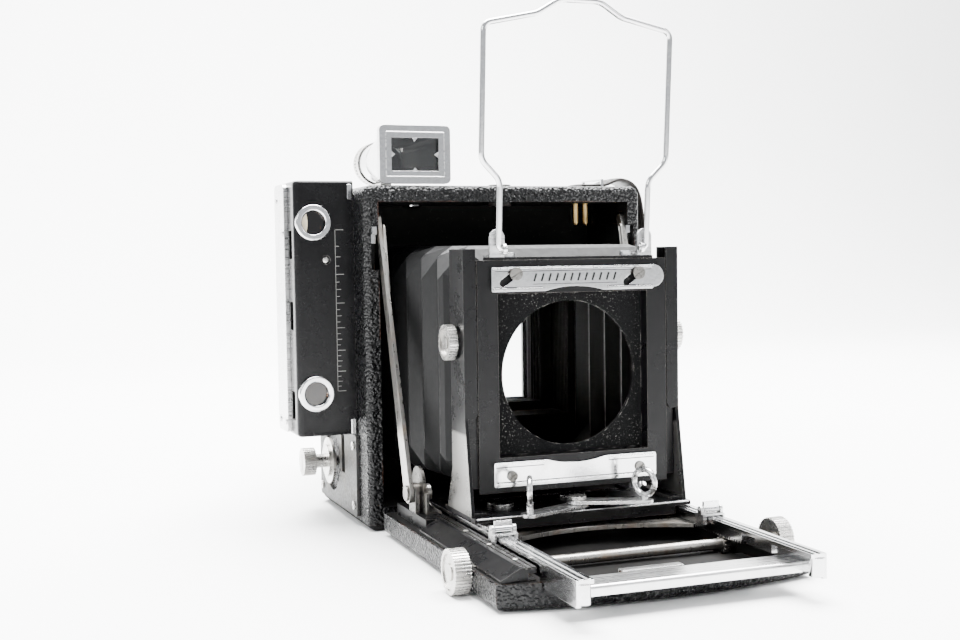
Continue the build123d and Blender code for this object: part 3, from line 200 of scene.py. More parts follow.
def make_metal(
    name, colour, rough, grime=0.4, grain=(1.0, 1.0, 1.0), dirt=(0.16, 0.13, 0.1),
    spots=0.3, relief=0.02, rounded=0.22,
):
    """Plated or bare metal with brushed streaks, tarnish in patches and small pits."""
    shade = Shade(name, Metallic=1.0, Roughness=rough)
    streaks = shade.noise(1.0, 3.0, 0.6, shade.stretched(*[g * 900.0 for g in grain]))
    patches = shade.range(shade.noise(95.0, 5.0, 0.65), 0.5, 0.72)
    pits = shade.range(shade.cells(520.0), 0.02, 0.1, 1.0, 0.0)
    pits = shade.math("MULTIPLY", pits, shade.range(shade.noise(210.0), 0.52, 0.62))
    dull = shade.math("MAXIMUM", shade.math("MULTIPLY", patches, grime), shade.math("MULTIPLY", pits, spots))
    toned = shade.blend(shade.range(streaks, 0.3, 0.75), [c * 0.88 for c in colour], colour)
    shade.feed("Base Color", shade.blend(dull, toned, dirt))
    base_rough = shade.range(streaks, 0.25, 0.75, rough * 0.75, rough * 1.3)
    shade.feed("Roughness", shade.math("ADD", base_rough, shade.math("MULTIPLY", dull, 0.3)))
    shade.bump(streaks, relief * MM, 0.5, rounded=rounded * MM)
    return shade.made


def make_flock():
    """Black flocking on the lens panel, flecked with dust and worn bright at the cut edge."""
    shade = Shade("flocked_panel", Roughness=0.95, Specular_IOR_Level=0.05, Sheen_Weight=0.03)
    fibres = shade.noise(2600.0, 4.0, 0.7)
    dust = shade.range(shade.noise(1100.0, 3.0, 0.75), 0.58, 0.74)
    dust = shade.math("MULTIPLY", dust, shade.range(shade.noise(50.0), 0.35, 0.7))
    patches = shade.range(shade.noise(240.0), 0.5, 0.62)
    worn = shade.math("MULTIPLY", shade.edges(0.5 * MM, 0.05, 0.25), patches)
    base = shade.blend(shade.range(fibres, 0.35, 0.7), (0.0016, 0.0017, 0.0018), (0.0075, 0.0079, 0.0082))
    share = shade.math("MAXIMUM", shade.math("MULTIPLY", dust, 0.75), shade.math("MULTIPLY", worn, 0.9))
    shade.feed("Base Color", shade.blend(share, base, (0.3, 0.29, 0.27)))
    shade.bump(fibres, 0.25 * MM, 0.8)
    return shade.made


def make_cloth(name, colour, rough=0.8, scale=2400.0):
    """Close woven black cloth."""
    shade = Shade(name, Roughness=rough, Specular_IOR_Level=0.08, Sheen_Weight=0.02)
    warp = shade.node("TexWave", Vector=shade.stretched(scale, scale, scale), bands_direction="X", Scale=0.3)
    weft = shade.node("TexWave", Vector=shade.stretched(scale, scale, scale), bands_direction="Z", Scale=0.3)
    weave = shade.math("MAXIMUM", warp.outputs["Fac"], weft.outputs["Fac"])
    tone = shade.math("MULTIPLY", weave, shade.range(shade.noise(200.0), 0.2, 0.8, 0.6, 1.0))
    shade.feed("Base Color", shade.blend(tone, [c * 0.5 for c in colour], colour))
    shade.bump(weave, 0.08 * MM, 0.6)
    return shade.made


def make_bellows():
    """Thin leathercloth: satin, slightly crinkled, rubbed lighter along the folds."""
    shade = Shade("bellows_leathercloth", Roughness=0.36, Specular_IOR_Level=0.12)
    crinkle = shade.noise(420.0, 5.0, 0.65)
    broad = shade.noise(36.0, 3.0, 0.5)
    fold = shade.node("Attribute", attribute_name="fold", attribute_type="GEOMETRY").outputs["Fac"]
    rub = shade.math("MULTIPLY", fold, shade.range(shade.noise(130.0, 4.0), 0.3, 0.75))
    base = shade.blend(shade.range(broad, 0.3, 0.7), (0.0016, 0.0017, 0.0018), (0.0032, 0.0033, 0.0035))
    shade.feed("Base Color", shade.blend(shade.math("MULTIPLY", rub, 0.16), base, (0.085, 0.085, 0.083)))
    shade.feed("Roughness", shade.range(crinkle, 0.3, 0.7, 0.36, 0.55))
    shade.bump(crinkle, 0.12 * MM, 0.45)
    return shade.made


def make_ribbed_black():
    """Matte black paint over the fine ribs inside the film gate, with painted shade in the grooves."""
    shade = Shade("ribbed_black", Roughness=0.8, Specular_IOR_Level=0.05)
    waves = shade.node("TexWave", Vector=shade.place, bands_direction="Y", Scale=190.0)
    ribs = waves.outputs["Fac"]
    dust = shade.range(shade.noise(500.0, 4.0, 0.7), 0.6, 0.75)
    # Painted shade: darker in the grooves between the ribs, lighter on their tops.
    base = shade.blend(ribs, (0.0008, 0.0008, 0.0008), (0.0065, 0.0065, 0.0062))
    shade.feed("Base Color", shade.blend(shade.math("MULTIPLY", dust, 0.12), base, (0.2, 0.19, 0.18)))
    shade.bump(ribs, 0.4 * MM, 0.8)
    return shade.made


def make_wood():
    """Black painted wood with its grain just showing."""
    shade = Shade("painted_wood", Roughness=0.6, Specular_IOR_Level=0.1)
    grain = shade.noise(1.0, 5.0, 0.6, shade.stretched(500.0, 40.0, 500.0))
    scuffs = shade.math("MULTIPLY", shade.edges(0.6 * MM), shade.range(shade.noise(180.0), 0.5, 0.6))
    base = shade.blend(shade.range(grain, 0.3, 0.7), (0.0024, 0.0024, 0.0025), (0.006, 0.0056, 0.0052))
    shade.feed("Base Color", shade.blend(shade.math("MULTIPLY", scuffs, 0.5), base, (0.14, 0.075, 0.035)))
    shade.bump(grain, 0.1 * MM, 0.5, rounded=0.3 * MM)
    return shade.made


def make_glass(name, tint, rough=0.0, through=1.0, coating=0.0, brown_beyond=None):
    """Clear or coated glass with a trace of smearing, brown where x is below a number."""
    colour = tuple(tint) + (1.0,)
    shade = Shade(name, Base_Color=colour, Transmission_Weight=through, IOR=1.5, Metallic=coating)
    if brown_beyond is not None:
        across = shade.node("SeparateXYZ", Vector=shade.place).outputs["X"]
        brown = shade.range(across, brown_beyond - MM, brown_beyond + MM, 1.0, 0.0)
        shade.feed("Base Color", shade.blend(brown, tint, (0.06, 0.028, 0.015)))
    smear = shade.noise(120.0, 4.0, 0.6)
    shade.feed("Roughness", shade.range(smear, 0.4, 0.8, rough, rough + 0.06))
    return shade.made


def make_strap_leather():
    """Smooth dark strap leather, creased across its bends."""
    shade = Shade("strap_leather", Roughness=0.42, Specular_IOR_Level=0.2)
    creases = shade.noise(1.0, 4.0, 0.6, shade.stretched(900.0, 160.0, 420.0))
    pores = shade.cells(1700.0)
    height = shade.math("ADD", creases, shade.math("MULTIPLY", pores, 0.3))
    worn = shade.math("MULTIPLY", shade.edges(0.7 * MM), shade.range(shade.noise(90.0), 0.4, 0.6))
    base = shade.blend(shade.range(creases, 0.3, 0.7), (0.0055, 0.0045, 0.0042), (0.013, 0.0105, 0.009))
    shade.feed("Base Color", shade.blend(shade.math("MULTIPLY", worn, 0.5), base, (0.08, 0.05, 0.03)))
    shade.feed("Roughness", shade.range(creases, 0.3, 0.7, 0.34, 0.52))
    shade.bump(height, 0.12 * MM, 0.7)
    return shade.made


LEATHER = make_leather()
STRAP = make_strap_leather()
ENAMEL = make_enamel("black_enamel")
FINDER_ENAMEL = make_enamel("rangefinder_enamel", wear_and_highlight=0.6, gloss=0.24, chip_and_highlight_colour=(0.5, 0.48, 0.45))
DULL_ENAMEL = make_enamel("dull_enamel", wear_and_highlight=0.45, gloss=0.5)
UPRIGHT_ENAMEL = make_enamel("upright_enamel", chip_and_highlight_colour=(0.22, 0.215, 0.205), bare_below=0.048)
CHROME = make_metal("chrome_plate", (0.66, 0.66, 0.665), 0.13, grime=0.22, spots=0.5)
BRIGHT = make_metal("satin_chrome", (0.66, 0.66, 0.66), 0.27, grime=0.16, grain=(0.03, 1.0, 1.0), spots=0.2)
NICKEL = make_metal("dull_nickel", (0.5, 0.49, 0.47), 0.27, grime=0.5, spots=0.6, rounded=0.06)
STEEL = make_metal(
    "bare_steel", (0.36, 0.35, 0.33), 0.30, grime=0.5, grain=(1.0, 1.0, 0.05), dirt=(0.2, 0.12, 0.06)
)
BRASS = make_metal("old_brass", (0.62, 0.44, 0.2), 0.36, grime=0.6, dirt=(0.16, 0.09, 0.04))
PLATE = make_metal("stippled_plate", (0.05, 0.05, 0.049), 0.5, grime=0.3, spots=0.4, relief=0.08)
FLOCK = make_flock()
CURTAIN = make_cloth("curtain_cloth", (0.007, 0.007, 0.007))
BELLOWS = make_bellows()
WOOD = make_wood()
RIBBED = make_ribbed_black()
DARK_STEEL = make_metal("dark_steel", (0.17, 0.165, 0.155), 0.3, grime=0.5, dirt=(0.1, 0.06, 0.03))
CLEAR = make_glass("clear_glass", (0.93, 0.95, 0.94), brown_beyond=-0.06)
GROUND = make_glass("ground_glass", (0.95, 0.96, 0.95), rough=0.22)
MIRROR = make_metal("silvered_mirror", (0.8, 0.8, 0.8), 0.05, grime=0.1, spots=0.2)

FINISHES = {
    LEATHER: "body_leather bed_leather",
    WOOD: "body_box bed_panel",
    FINDER_ENAMEL: "rangefinder_housing",
    UPRIGHT_ENAMEL: "standard_uprights",
    ENAMEL: "standard_base lens_frame bed_guides focusing_lid back_frame focusing_frame",
    RIBBED: "film_gate",
    DARK_STEEL: "strut_lugs clip_screws",
    CHROME: "viewfinder_housing rangefinder_rings case_fittings lower_clip upper_clip wire_hoop track_rails"
    " infinity_stop_left infinity_stop_right",
    BRIGHT: "pinch_lever_left pinch_lever_right track_bars hoop_brackets rangefinder_cover",
    NICKEL: "case_screws rise_knob_left rise_knob_right focus_knobs winding_roller tension_roller"
    " shutter_release parallax_ring peep_sight sight_mounts clamp_studs",
    STEEL: "strut_left strut_right focus_shaft track_yoke bed_hinge back_springs",
    BRASS: "tripod_bushes",
    PLATE: "shutter_side_plate",
    FLOCK: "lens_board",
    CLEAR: "finder_glasses",
    GROUND: "ground_glass",
    MIRROR: "fixed_mirror swing_mirror",
    STRAP: "bed_latch_button",
}
for finish, names in FINISHES.items():
    for name in names.split():
        for slot in NODES[name].material_slots:
            slot.material = finish


# ---- shared mesh calls ----
def piece(name, mesh_maker, material, body, smooth=True):
    """An object from a bmesh that a function fills, riding on a body."""
    form = bmesh.new()
    mesh_maker(form)
    mesh = bpy.data.meshes.new(name)
    form.normal_update()
    form.to_mesh(mesh)
    form.free()
    made = bpy.data.objects.new(name, mesh)
    bpy.context.collection.objects.link(made)
    mesh.materials.append(material)
    for face in mesh.polygons:
        face.use_smooth = smooth
    if body:
        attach(made, body)
    return made


def box_into(form, low, high, turn=None, inset=0.0):
    """A box from corner to corner, with its edges eased."""
    made = bmesh.ops.create_cube(form, size=1.0)["verts"]
    middle = (Vector(low) + Vector(high)) / 2
    size = Vector(high) - Vector(low)
    matrix = Matrix.Translation(middle) @ (turn or Matrix.Identity(4)) @ Matrix.Diagonal(size.to_4d())
    bmesh.ops.transform(form, matrix=matrix, verts=made)
    if inset:
        edges = list({e for v in made for e in v.link_edges})
        bmesh.ops.bevel(form, geom=edges, offset=inset, segments=2, affect="EDGES")


def tube_into(form, path, radius, sides=10):
    """A round wire along a path of points."""
    rings = []
    side = None
    for i, point in enumerate(path):
        ahead = Vector(path[min(i + 1, len(path) - 1)]) - Vector(path[max(i - 1, 0)])
        ahead.normalize()
        if side is None:
            side = ahead.orthogonal().normalized()
        side = (side - ahead * side.dot(ahead)).normalized()
        other = ahead.cross(side)
        turn = [2 * math.pi * k / sides for k in range(sides)]
        spokes = [radius * (math.cos(a) * side + math.sin(a) * other) for a in turn]
        rings.append([form.verts.new(Vector(point) + spoke) for spoke in spokes])
    for near, far in zip(rings, rings[1:]):
        for k in range(sides):
            form.faces.new((near[k], near[(k + 1) % sides], far[(k + 1) % sides], far[k]))
    form.faces.new(rings[0][::-1])
    form.faces.new(rings[-1])


def turned_into(form, outline, origin, axis, sides=40):
    """A solid of revolution. The outline's points are (distance along the axis, radius)."""
    turn = Vector((0, 0, 1)).rotation_difference(Vector(axis)).to_matrix()
    rings = []
    for along, radius in outline:
        ring = []
        for k in range(sides):
            a = 2 * math.pi * k / sides
            spot = Vector((radius * math.cos(a), radius * math.sin(a), along))
            ring.append(form.verts.new(Vector(origin) + turn @ spot))
        rings.append(ring)
    for near, far in zip(rings, rings[1:]):
        for k in range(sides):
            form.faces.new((near[k], near[(k + 1) % sides], far[(k + 1) % sides], far[k]))
    form.faces.new(rings[0][::-1])
    form.faces.new(rings[-1])


# ---- bellows ----
# Ridges stand every 17.6 mm with a valley halfway, and one run of fold lines goes through every zone.
HALF_PLEAT = 8.8 * MM
FIRST_RIDGE = 5.0 * MM
WIDE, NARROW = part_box("bellows_rear"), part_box("bellows_front")
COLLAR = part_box("bellows_collar")
FAR_Y = WIDE[1][1]
FOLD_DEPTH = 3.4 * MM
VALLEY_CUT, RIDGE_CUT = 1.2 * MM, 13.0 * MM


def ridge_share(y):
    """1 on a ridge, 0 in a valley, and even slopes between."""
    steps = abs(FIRST_RIDGE - y) / HALF_PLEAT % 2
    return abs(1 - steps)


def fold_outline(y):
    """One section. At a ridge the corner is cut deep; in a valley it stands nearly square."""
    share = (y - NARROW[0][1]) / (FAR_Y - NARROW[0][1])
    out = ridge_share(y)
    sunk = (1 - out) * FOLD_DEPTH
    half = NARROW[1][0] + (WIDE[1][0] - NARROW[1][0]) * share - sunk
    low = NARROW[0][2] + (WIDE[0][2] - NARROW[0][2]) * share + sunk
    high = NARROW[1][2] + (WIDE[1][2] - NARROW[1][2]) * share - sunk
    cut = VALLEY_CUT + (RIDGE_CUT - VALLEY_CUT) * out
    return [
        (-half, low + cut), (-half, high - cut), (-half + cut, high), (half - cut, high),
        (half, high - cut), (half, low + cut), (half - cut, low), (-half + cut, low),
    ]


def bellows_zone(name, rear_y, front_y, node):
    """A run of pleats between two distances, with each fold softened over a narrow band."""
    soft = 0.45 * MM
    lines = [rear_y, front_y]
    for k in range(12):
        fold = FIRST_RIDGE - k * HALF_PLEAT
        lines += [y for y in (fold - soft, fold, fold + soft) if front_y + soft < y < rear_y - soft]
    lines.sort(reverse=True)

    def fill(form):
        worn = form.verts.layers.float.new("fold")
        rings = []
        for y in lines:
            on_fold = abs(ridge_share(y) - 0.5) > 0.49
            nudge = soft * 0.45 if on_fold else 0.0
            ring = [form.verts.new((x * (1 - nudge / 0.05), y, z)) for x, z in fold_outline(y)]
            for vert in ring:
                vert[worn] = 1.0 if on_fold else 0.0
            rings.append(ring)
        for near, far in zip(rings, rings[1:]):
            for k in range(8):
                form.faces.new((near[k], near[(k + 1) % 8], far[(k + 1) % 8], far[k]))
        bmesh.ops.recalc_face_normals(form, faces=form.faces)

    made = piece(name, fill, BELLOWS, None, smooth=False)
    thick = made.modifiers.new("thickness", "SOLIDIFY")
    thick.thickness = 0.5 * MM
    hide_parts(node)
    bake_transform(made)


ZONE_YS = [FAR_Y, WIDE[0][1], NARROW[1][1], NARROW[0][1]]
ZONE_NAMES = ("bellows_rear", "bellows_middle", "bellows_front")
ZONE_BODIES = (("camera_body", "bed"), ("bed", "focus_track"), ("focus_track", "standard"))
for node, bodies, rear_y, front_y in zip(ZONE_NAMES, ZONE_BODIES, ZONE_YS, ZONE_YS[1:]):
    bellows_zone(node + "_pleats", rear_y, front_y, node)


def collar_fill(form):
    """The last half pleat closes down onto the back of the lens frame."""
    (low_x, front_y, low_z), (high_x, rear_y, high_z) = COLLAR
    last = fold_outline(NARROW[0][1])
    rings = [[form.verts.new((x, rear_y + 0.2 * MM, z)) for x, z in last]]
    for share in (0.35, 0.7, 1.0):
        y = rear_y + (front_y - rear_y) * share
        close = min(1.0, share * 1.4)
        cut = 8.0 * MM
        end = [
            (low_x, low_z + cut), (low_x, high_z - cut), (low_x + cut, high_z), (high_x - cut, high_z),
            (high_x, high_z - cut), (high_x, low_z + cut), (high_x - cut, low_z), (low_x + cut, low_z),
        ]
        ring = [(a[0] + (b[0] - a[0]) * close, a[1] + (b[1] - a[1]) * close) for a, b in zip(last, end)]
        rings.append([form.verts.new((x, y, z)) for x, z in ring])
    for near, far in zip(rings, rings[1:]):
        for k in range(8):
            form.faces.new((near[k], near[(k + 1) % 8], far[(k + 1) % 8], far[k]))
    bmesh.ops.recalc_face_normals(form, faces=form.faces)


collar = piece("bellows_collar_pleat", collar_fill, BELLOWS, None, smooth=False)
collar.modifiers.new("thickness", "SOLIDIFY").thickness = 0.5 * MM
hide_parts("bellows_collar")
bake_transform(collar)


# ---- shutter curtain ----
def curtain_fill(form):
    """The cloth between the rollers, with its picture opening, drawn tight and a little rippled."""
    (low_x, _, low_z), (high_x, _, high_z) = CURTAIN_BOX
    y = (CURTAIN_BOX[0][1] + CURTAIN_BOX[1][1]) / 2
    across, up = 48, 50
    grid = []
    for i in range(across + 1):
        x = low_x + (high_x - low_x) * i / across
        column = []
        for k in range(up + 1):
            z = low_z + (high_z - low_z) * k / up
            ripple = 0.12 * MM * math.sin(260 * x) * math.sin(math.pi * k / up)
            column.append(form.verts.new((x, y + ripple, z)))
        grid.append(column)
    for i in range(across):
        for k in range(up):
            x, z = grid[i][k].co.x, grid[i][k].co.z
            in_opening = abs(x - PICTURE_X) < PICTURE_HALF and PICTURE_LOW < z < PICTURE_HIGH
            if not in_opening:
                form.faces.new((grid[i][k], grid[i + 1][k], grid[i + 1][k + 1], grid[i][k + 1]))
    bmesh.ops.delete(form, geom=[v for v in form.verts if not v.link_faces], context="VERTS")


CURTAIN_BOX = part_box("shutter_curtain")
PICTURE_X, PICTURE_HALF = -0.9 * MM, 42 * MM
PICTURE_LOW, PICTURE_HIGH = 41.5 * MM, 99.5 * MM
curtain = piece("curtain_cloth", curtain_fill, CURTAIN, None)
curtain.modifiers.new("thickness", "SOLIDIFY").thickness = 0.35 * MM
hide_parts("shutter_curtain")
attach(curtain, "camera_body")


# ---- hand strap ----
STRAP_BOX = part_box("hand_strap")
STRAP_Y = (STRAP_BOX[0][1] + STRAP_BOX[1][1]) / 2
STRAP_HALF = (STRAP_BOX[1][1] - STRAP_BOX[0][1]) / 2 - 0.2 * MM


def strap_path():
    """The strap's middle line (x, z), from the top fitting out and down to the lower one."""
    top, out = STRAP_BOX[1][2] - 1.3 * MM, STRAP_BOX[1][0] - 1.3 * MM
    case_top = CASE[1][2]
    knots = [
        (48.0 * MM, case_top + 2.4 * MM), (59.0 * MM, case_top + 2.7 * MM), (68.0 * MM, top - 0.8 * MM),
        (76.0 * MM, case_top + 0.6 * MM), (79.2 * MM, 128.0 * MM), (out, 96.0 * MM), (out, 66.0 * MM),
        (77.4 * MM, 48.0 * MM), (70.4 * MM, 35.0 * MM), (66.6 * MM, 26.0 * MM), (66.2 * MM, 14.4 * MM),
    ]
    points = []
    for i in range(len(knots) - 1):
        before, start, end, after = (Vector(knots[min(max(i + d, 0), len(knots) - 1)]) for d in (-1, 0, 1, 2))
        for k in range(8):
            t = k / 8
            bend = (end - before) * t + (2 * before - 5 * start + 4 * end - after) * t**2
            points.append(start + 0.5 * (bend + (3 * start - before - 3 * end + after) * t**3))
    return points + [Vector(knots[-1])]


def strap_sections():
    """Each point of the path with its outward direction."""
    path = strap_path()
    for i, point in enumerate(path):
        ahead = (path[min(i + 1, len(path) - 1)] - path[max(i - 1, 0)]).normalized()
        yield point, Vector((-ahead.y, ahead.x))


def strap_fill(form):
    """A band with rounded edges, slightly domed across, and a crease line inside each edge."""
    profile = [
        (-1.0, 0.0), (-0.98, 0.55), (-0.9, 0.8), (-0.78, 0.62), (-0.72, 0.85), (0.0, 1.0), (0.72, 0.85),
        (0.78, 0.62), (0.9, 0.8), (0.98, 0.55), (1.0, 0.0), (0.95, -0.6), (0.0, -0.75), (-0.95, -0.6),
    ]
    rings = []
    for point, away in strap_sections():
        ring = []
        for across, out in profile:
            spot = point + away * (out * 1.05 * MM)
            ring.append(form.verts.new((spot.x, STRAP_Y + across * STRAP_HALF, spot.y)))
        rings.append(ring)
    count = len(profile)
    for near, far in zip(rings, rings[1:]):
        for k in range(count):
            form.faces.new((near[k], near[(k + 1) % count], far[(k + 1) % count], far[k]))
    form.faces.new(rings[0])
    form.faces.new(rings[-1][::-1])
    bmesh.ops.recalc_face_normals(form, faces=form.faces)


def stitch_fill(form):
    """Waxed thread: one row of short stitches along each edge."""
    sections = list(strap_sections())
    for side in (-0.78, 0.78):
        for (start, up), (end, _) in zip(sections[2:-2:2], sections[3:-2:2]):
            ends = [p + up * (0.72 * MM) for p in (start, start.lerp(end, 0.7))]
            path = [(p.x, STRAP_Y + side * STRAP_HALF, p.y) for p in ends]
            tube_into(form, path, 0.22 * MM, sides=6)


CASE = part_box("body_box")
strap = piece("carrying_strap", strap_fill, STRAP, None)
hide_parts("hand_strap")
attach(strap, "camera_body")
THREAD = make_cloth("waxed_thread", (0.02, 0.016, 0.012), rough=0.6)
piece("strap_stitches", stitch_fill, THREAD, "camera_body")


# ---- small fittings ----
def front_bars(form, bars, y, depth):
    """Flat bars on a surface that faces the front. A bar is (middle x, middle z, width, height, turn)."""
    for x, z, width, height, turn in bars:
        half = Vector((width / 2, depth / 2, height / 2)) * MM
        middle = Vector((x * MM, y, z * MM))
        box_into(form, middle - half, middle + half, Matrix.Rotation(math.radians(turn), 4, "Y"))


def scale_fill(form):
    """The range finder's distance scale: a long line and ticks that close up towards the far end."""
    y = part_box("rangefinder_housing")[0][1] - 0.02 * MM
    low, high, line_x = 58.0, 126.0, -71.6
    bars = [(line_x, (low + high) / 2, 0.22, high - low, 0)]
    for k in range(25):
        length = (3.4, 1.4, 2.0, 1.4)[k % 4]
        z = high - (high - low) * (k / 24) ** 0.72
        bars.append((line_x + 0.2 + length / 2, z, length, 0.26, 0))
    front_bars(form, bars, y, 0.08)


def clip_marks_fill(form):
    """Plain slanted bars engraved along the upper clip, between its two screws."""
    low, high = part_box("upper_clip")
    middle_x, middle_z = (low[0] + high[0]) / 2 / MM - 1.8, (low[2] + high[2]) / 2 / MM + 0.6
    bars = [(middle_x - 16.5 + 3.0 * k, middle_z, 0.75, 3.1, 18) for k in range(12)]
    bars += [(middle_x, middle_z + side * 2.5, 35.0, 0.22, 0) for side in (-1, 1)]
    front_bars(form, bars, low[1] + 0.42 * MM, 0.12)


def slotted_screw(form, origin, axis, radius, height):
    """A domed screw head, standing on a point."""
    outline = [(0, radius), (height * 0.5, radius), (height * 0.85, radius * 0.8), (height, radius * 0.45)]
    turned_into(form, outline, origin, axis, sides=24)


def screws_fill(form):
    """Small screws on the range finder: one in the port in its front, and two on its top."""
    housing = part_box("rangefinder_housing")
    slotted_screw(form, (-75.6 * MM, housing[0][1] + 0.7 * MM, 113.4 * MM), (0, -1, 0), 1.3 * MM, 0.5 * MM)
    for x, y in ((-77.0, -12.0), (-68.0, -1.0)):
        slotted_screw(form, (x * MM, y * MM, housing[1][2]), (0, 0, 1), 1.3 * MM, 0.6 * MM)


def guide_screws_fill(form):
    """Three small screws let into the tops of the bed's two guides."""
    for side in (-1, 1):
        for y in (-112.0, -136.0, -160.0):
            slotted_screw(form, (side * 47.6 * MM, y * MM, GUIDE_TOP), (0, 0, 1), 1.0 * MM, 0.3 * MM)


def inner_button_fill(form):
    """The dome nut on the case's ceiling."""
    turned_into(
        form,
        [(0, 4.4 * MM), (0.7 * MM, 4.2 * MM), (1.3 * MM, 2.8 * MM), (1.7 * MM, 1.0 * MM)],
        (-31.0 * MM, -1.0 * MM, CEILING), (0, 0, -1),
    )


def pins_fill(form):
    """Two round-ended pins under the case's ceiling, beside the bed latch."""
    for x in (40.2, 45.0):
        turned_into(
            form,
            [(0, 1.3 * MM), (8.6 * MM, 1.3 * MM), (9.4 * MM, 0.9 * MM), (9.8 * MM, 0.3 * MM)],
            (x * MM, -20.0 * MM, CEILING), (0, 0, -1), sides=20,
        )


def retaining_clips_fill(form):
    """Bent spring clips that hold the range finder against the case's side."""
    housing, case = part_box("rangefinder_housing"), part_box("body_box")
    for z in (142.0, 42.6):
        y, x = housing[0][1] - 0.7 * MM, case[0][0] - 0.7 * MM
        low = (x - 2.2 * MM, y, z * MM - 3.2 * MM)
        high = (x - 0.2 * MM, y + 0.7 * MM, z * MM + 3.2 * MM)
        box_into(form, low, high, inset=0.2 * MM)


def coil_fill(form):
    """The strut lug's wire coil, with one end that runs out along the bed."""
    for side in (-1, 1):
        centre_y, centre_z = STRUT_LUG_YZ
        path = []
        for k in range(61):
            a = 2 * math.pi * 4 * k / 60
            x = side * (50.4 - 3.0 * k / 60) * MM
            path.append((x, centre_y + COIL_RADIUS * math.cos(a), centre_z + COIL_RADIUS * math.sin(a)))
        path += [
            (side * 47.2 * MM, centre_y + 1.0 * MM, centre_z - 4.6 * MM),
            (side * 47.0 * MM, centre_y - 5.0 * MM, centre_z - 6.2 * MM),
            (side * 46.8 * MM, centre_y - 12.0 * MM, centre_z - 6.6 * MM),
        ]
        tube_into(form, path, 0.42 * MM, sides=8)


def border_lines(form, name, proud, middle, reach):
    """Painted shade: dark lines inside a clip's raised borders. The reach is signed towards the long border.
    """
    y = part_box(name)[0][1] + proud * MM
    bars = [(-0.2, middle + reach, 65.0, 0.32, 0)]
    bars += [(x, middle - reach, 19.4, 0.32, 0) for x in (-23.4, 23.1)]
    front_bars(form, bars, y, 0.12)


def upper_lines_fill(form):
    """The upper clip's painted shade lines along its borders."""
    border_lines(form, "upper_clip", 0.4, 105.3, 3.02)


def lower_lines_fill(form):
    """The lower clip's painted shade lines along its borders."""
    border_lines(form, "lower_clip", 0.5, 32.3, -2.82)


def base_edge_fill(form):
    """A painted highlight: a bright chrome line along the front edge of the standard's base."""
    low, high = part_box("standard_base")
    y, z = low[1] + 0.25 * MM, high[2] - 0.3 * MM
    path = [(low[0] + (high[0] - low[0]) * (0.01 + 0.98 * k / 20), y, z) for k in range(21)]
    tube_into(form, path, 0.36 * MM, sides=8)


def crescent_fill(form):
    """A painted reflection: a pale gold crescent on the upper window."""
    z, y = WINDOW_ZS[1], WINDOW_Y
    outer, inner = [], []
    for k in range(17):
        a = math.radians(125 + 110 * k / 16)
        x, high = WINDOW_X + GLASS_RADIUS * math.cos(a), z + GLASS_RADIUS * math.sin(a)
        outer.append(form.verts.new((x, y, high)))
        reach = 1.1 * MM * math.sin(math.pi * k / 16)
        inner.append(form.verts.new((x + 2.2 * reach, y, high)))
    for k in range(16):
        if k in (0, 15):
            corner = (outer[0], inner[1], outer[1]) if k == 0 else (outer[15], inner[15], outer[16])
            form.faces.new(corner)
        else:
            form.faces.new((outer[k], inner[k], inner[k + 1], outer[k + 1]))
    bmesh.ops.delete(form, geom=[v for v in form.verts if not v.link_faces], context="VERTS")


def catch_plate_fill(form):
    """The catch plate that stands in the bed's recess on one folded leg."""
    box_into(form, (-14.0 * MM, -172.0 * MM, 8.7 * MM), (9.0 * MM, -168.4 * MM, 9.4 * MM), inset=0.15 * MM)
    box_into(form, (-14.0 * MM, -169.2 * MM, RECESS_FLOOR), (9.0 * MM, -168.4 * MM, 8.9 * MM), inset=0.15 * MM)


def worn_strip_fill(form):
    """The thin worn strip behind the catch plate, on the recess's floor."""
    box_into(form, (-20.0 * MM, -167.6 * MM, RECESS_FLOOR), (27.0 * MM, -163.0 * MM, 6.0 * MM), inset=0.1 * MM)


def finder_middle():
    """The middle of the finder's window (x, z), with the y of its front face."""
    low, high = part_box("viewfinder_housing")
    return (low[0] + high[0]) / 2, low[1], (low[2] + high[2]) / 2


def notch_fill(form):
    """The finder mask's four marks: small wedges that point into the window from its edges."""
    middle_x, front_y, middle_z = finder_middle()
    for dx, dz in ((0, 1), (0, -1), (1, 0), (-1, 0)):
        edge = Vector((middle_x + dx * WINDOW_HALF_X, front_y + 0.5 * MM, middle_z + dz * WINDOW_HALF_Z))
        along = Vector((dz, 0, dx)) * 1.4 * MM
        front = [edge + along, edge - along, edge - Vector((dx, 0, dz)) * 1.9 * MM]
        near = [form.verts.new(v) for v in front]
        far = [form.verts.new(v + Vector((0, 0.5 * MM, 0))) for v in front]
        form.faces.new(near)
        form.faces.new(far[::-1])
        for k in range(3):
            form.faces.new((near[k], far[k], far[(k + 1) % 3], near[(k + 1) % 3]))
    bmesh.ops.recalc_face_normals(form, faces=form.faces)


def lining_fill(form):
    """A black sleeve inside the finder's tapered housing, ending in a ring around the eyepiece."""
    middle_x, front_y, middle_z = finder_middle()
    rings = []
    stations = ((3.6, 12.1, 8.7, 9), (43.0, 7.7, 7.2, 3), (48.0, 6.9, 6.9, 2), (48.4, 4.0, 4.0, 2))
    for along, half_x, half_z, power in stations:
        ring = []
        for k in range(40):
            a = 2 * math.pi * k / 40
            c, d = math.cos(a), math.sin(a)
            reach = (abs(c) ** power + abs(d) ** power) ** (-1 / power)
            x, z = middle_x + c * reach * half_x * MM, middle_z + d * reach * half_z * MM
            spot = (x, front_y + along * MM, z)
            ring.append(form.verts.new(spot))
        rings.append(ring)
    for near, far in zip(rings, rings[1:]):
        for k in range(40):
            form.faces.new((near[k], near[(k + 1) % 40], far[(k + 1) % 40], far[k]))


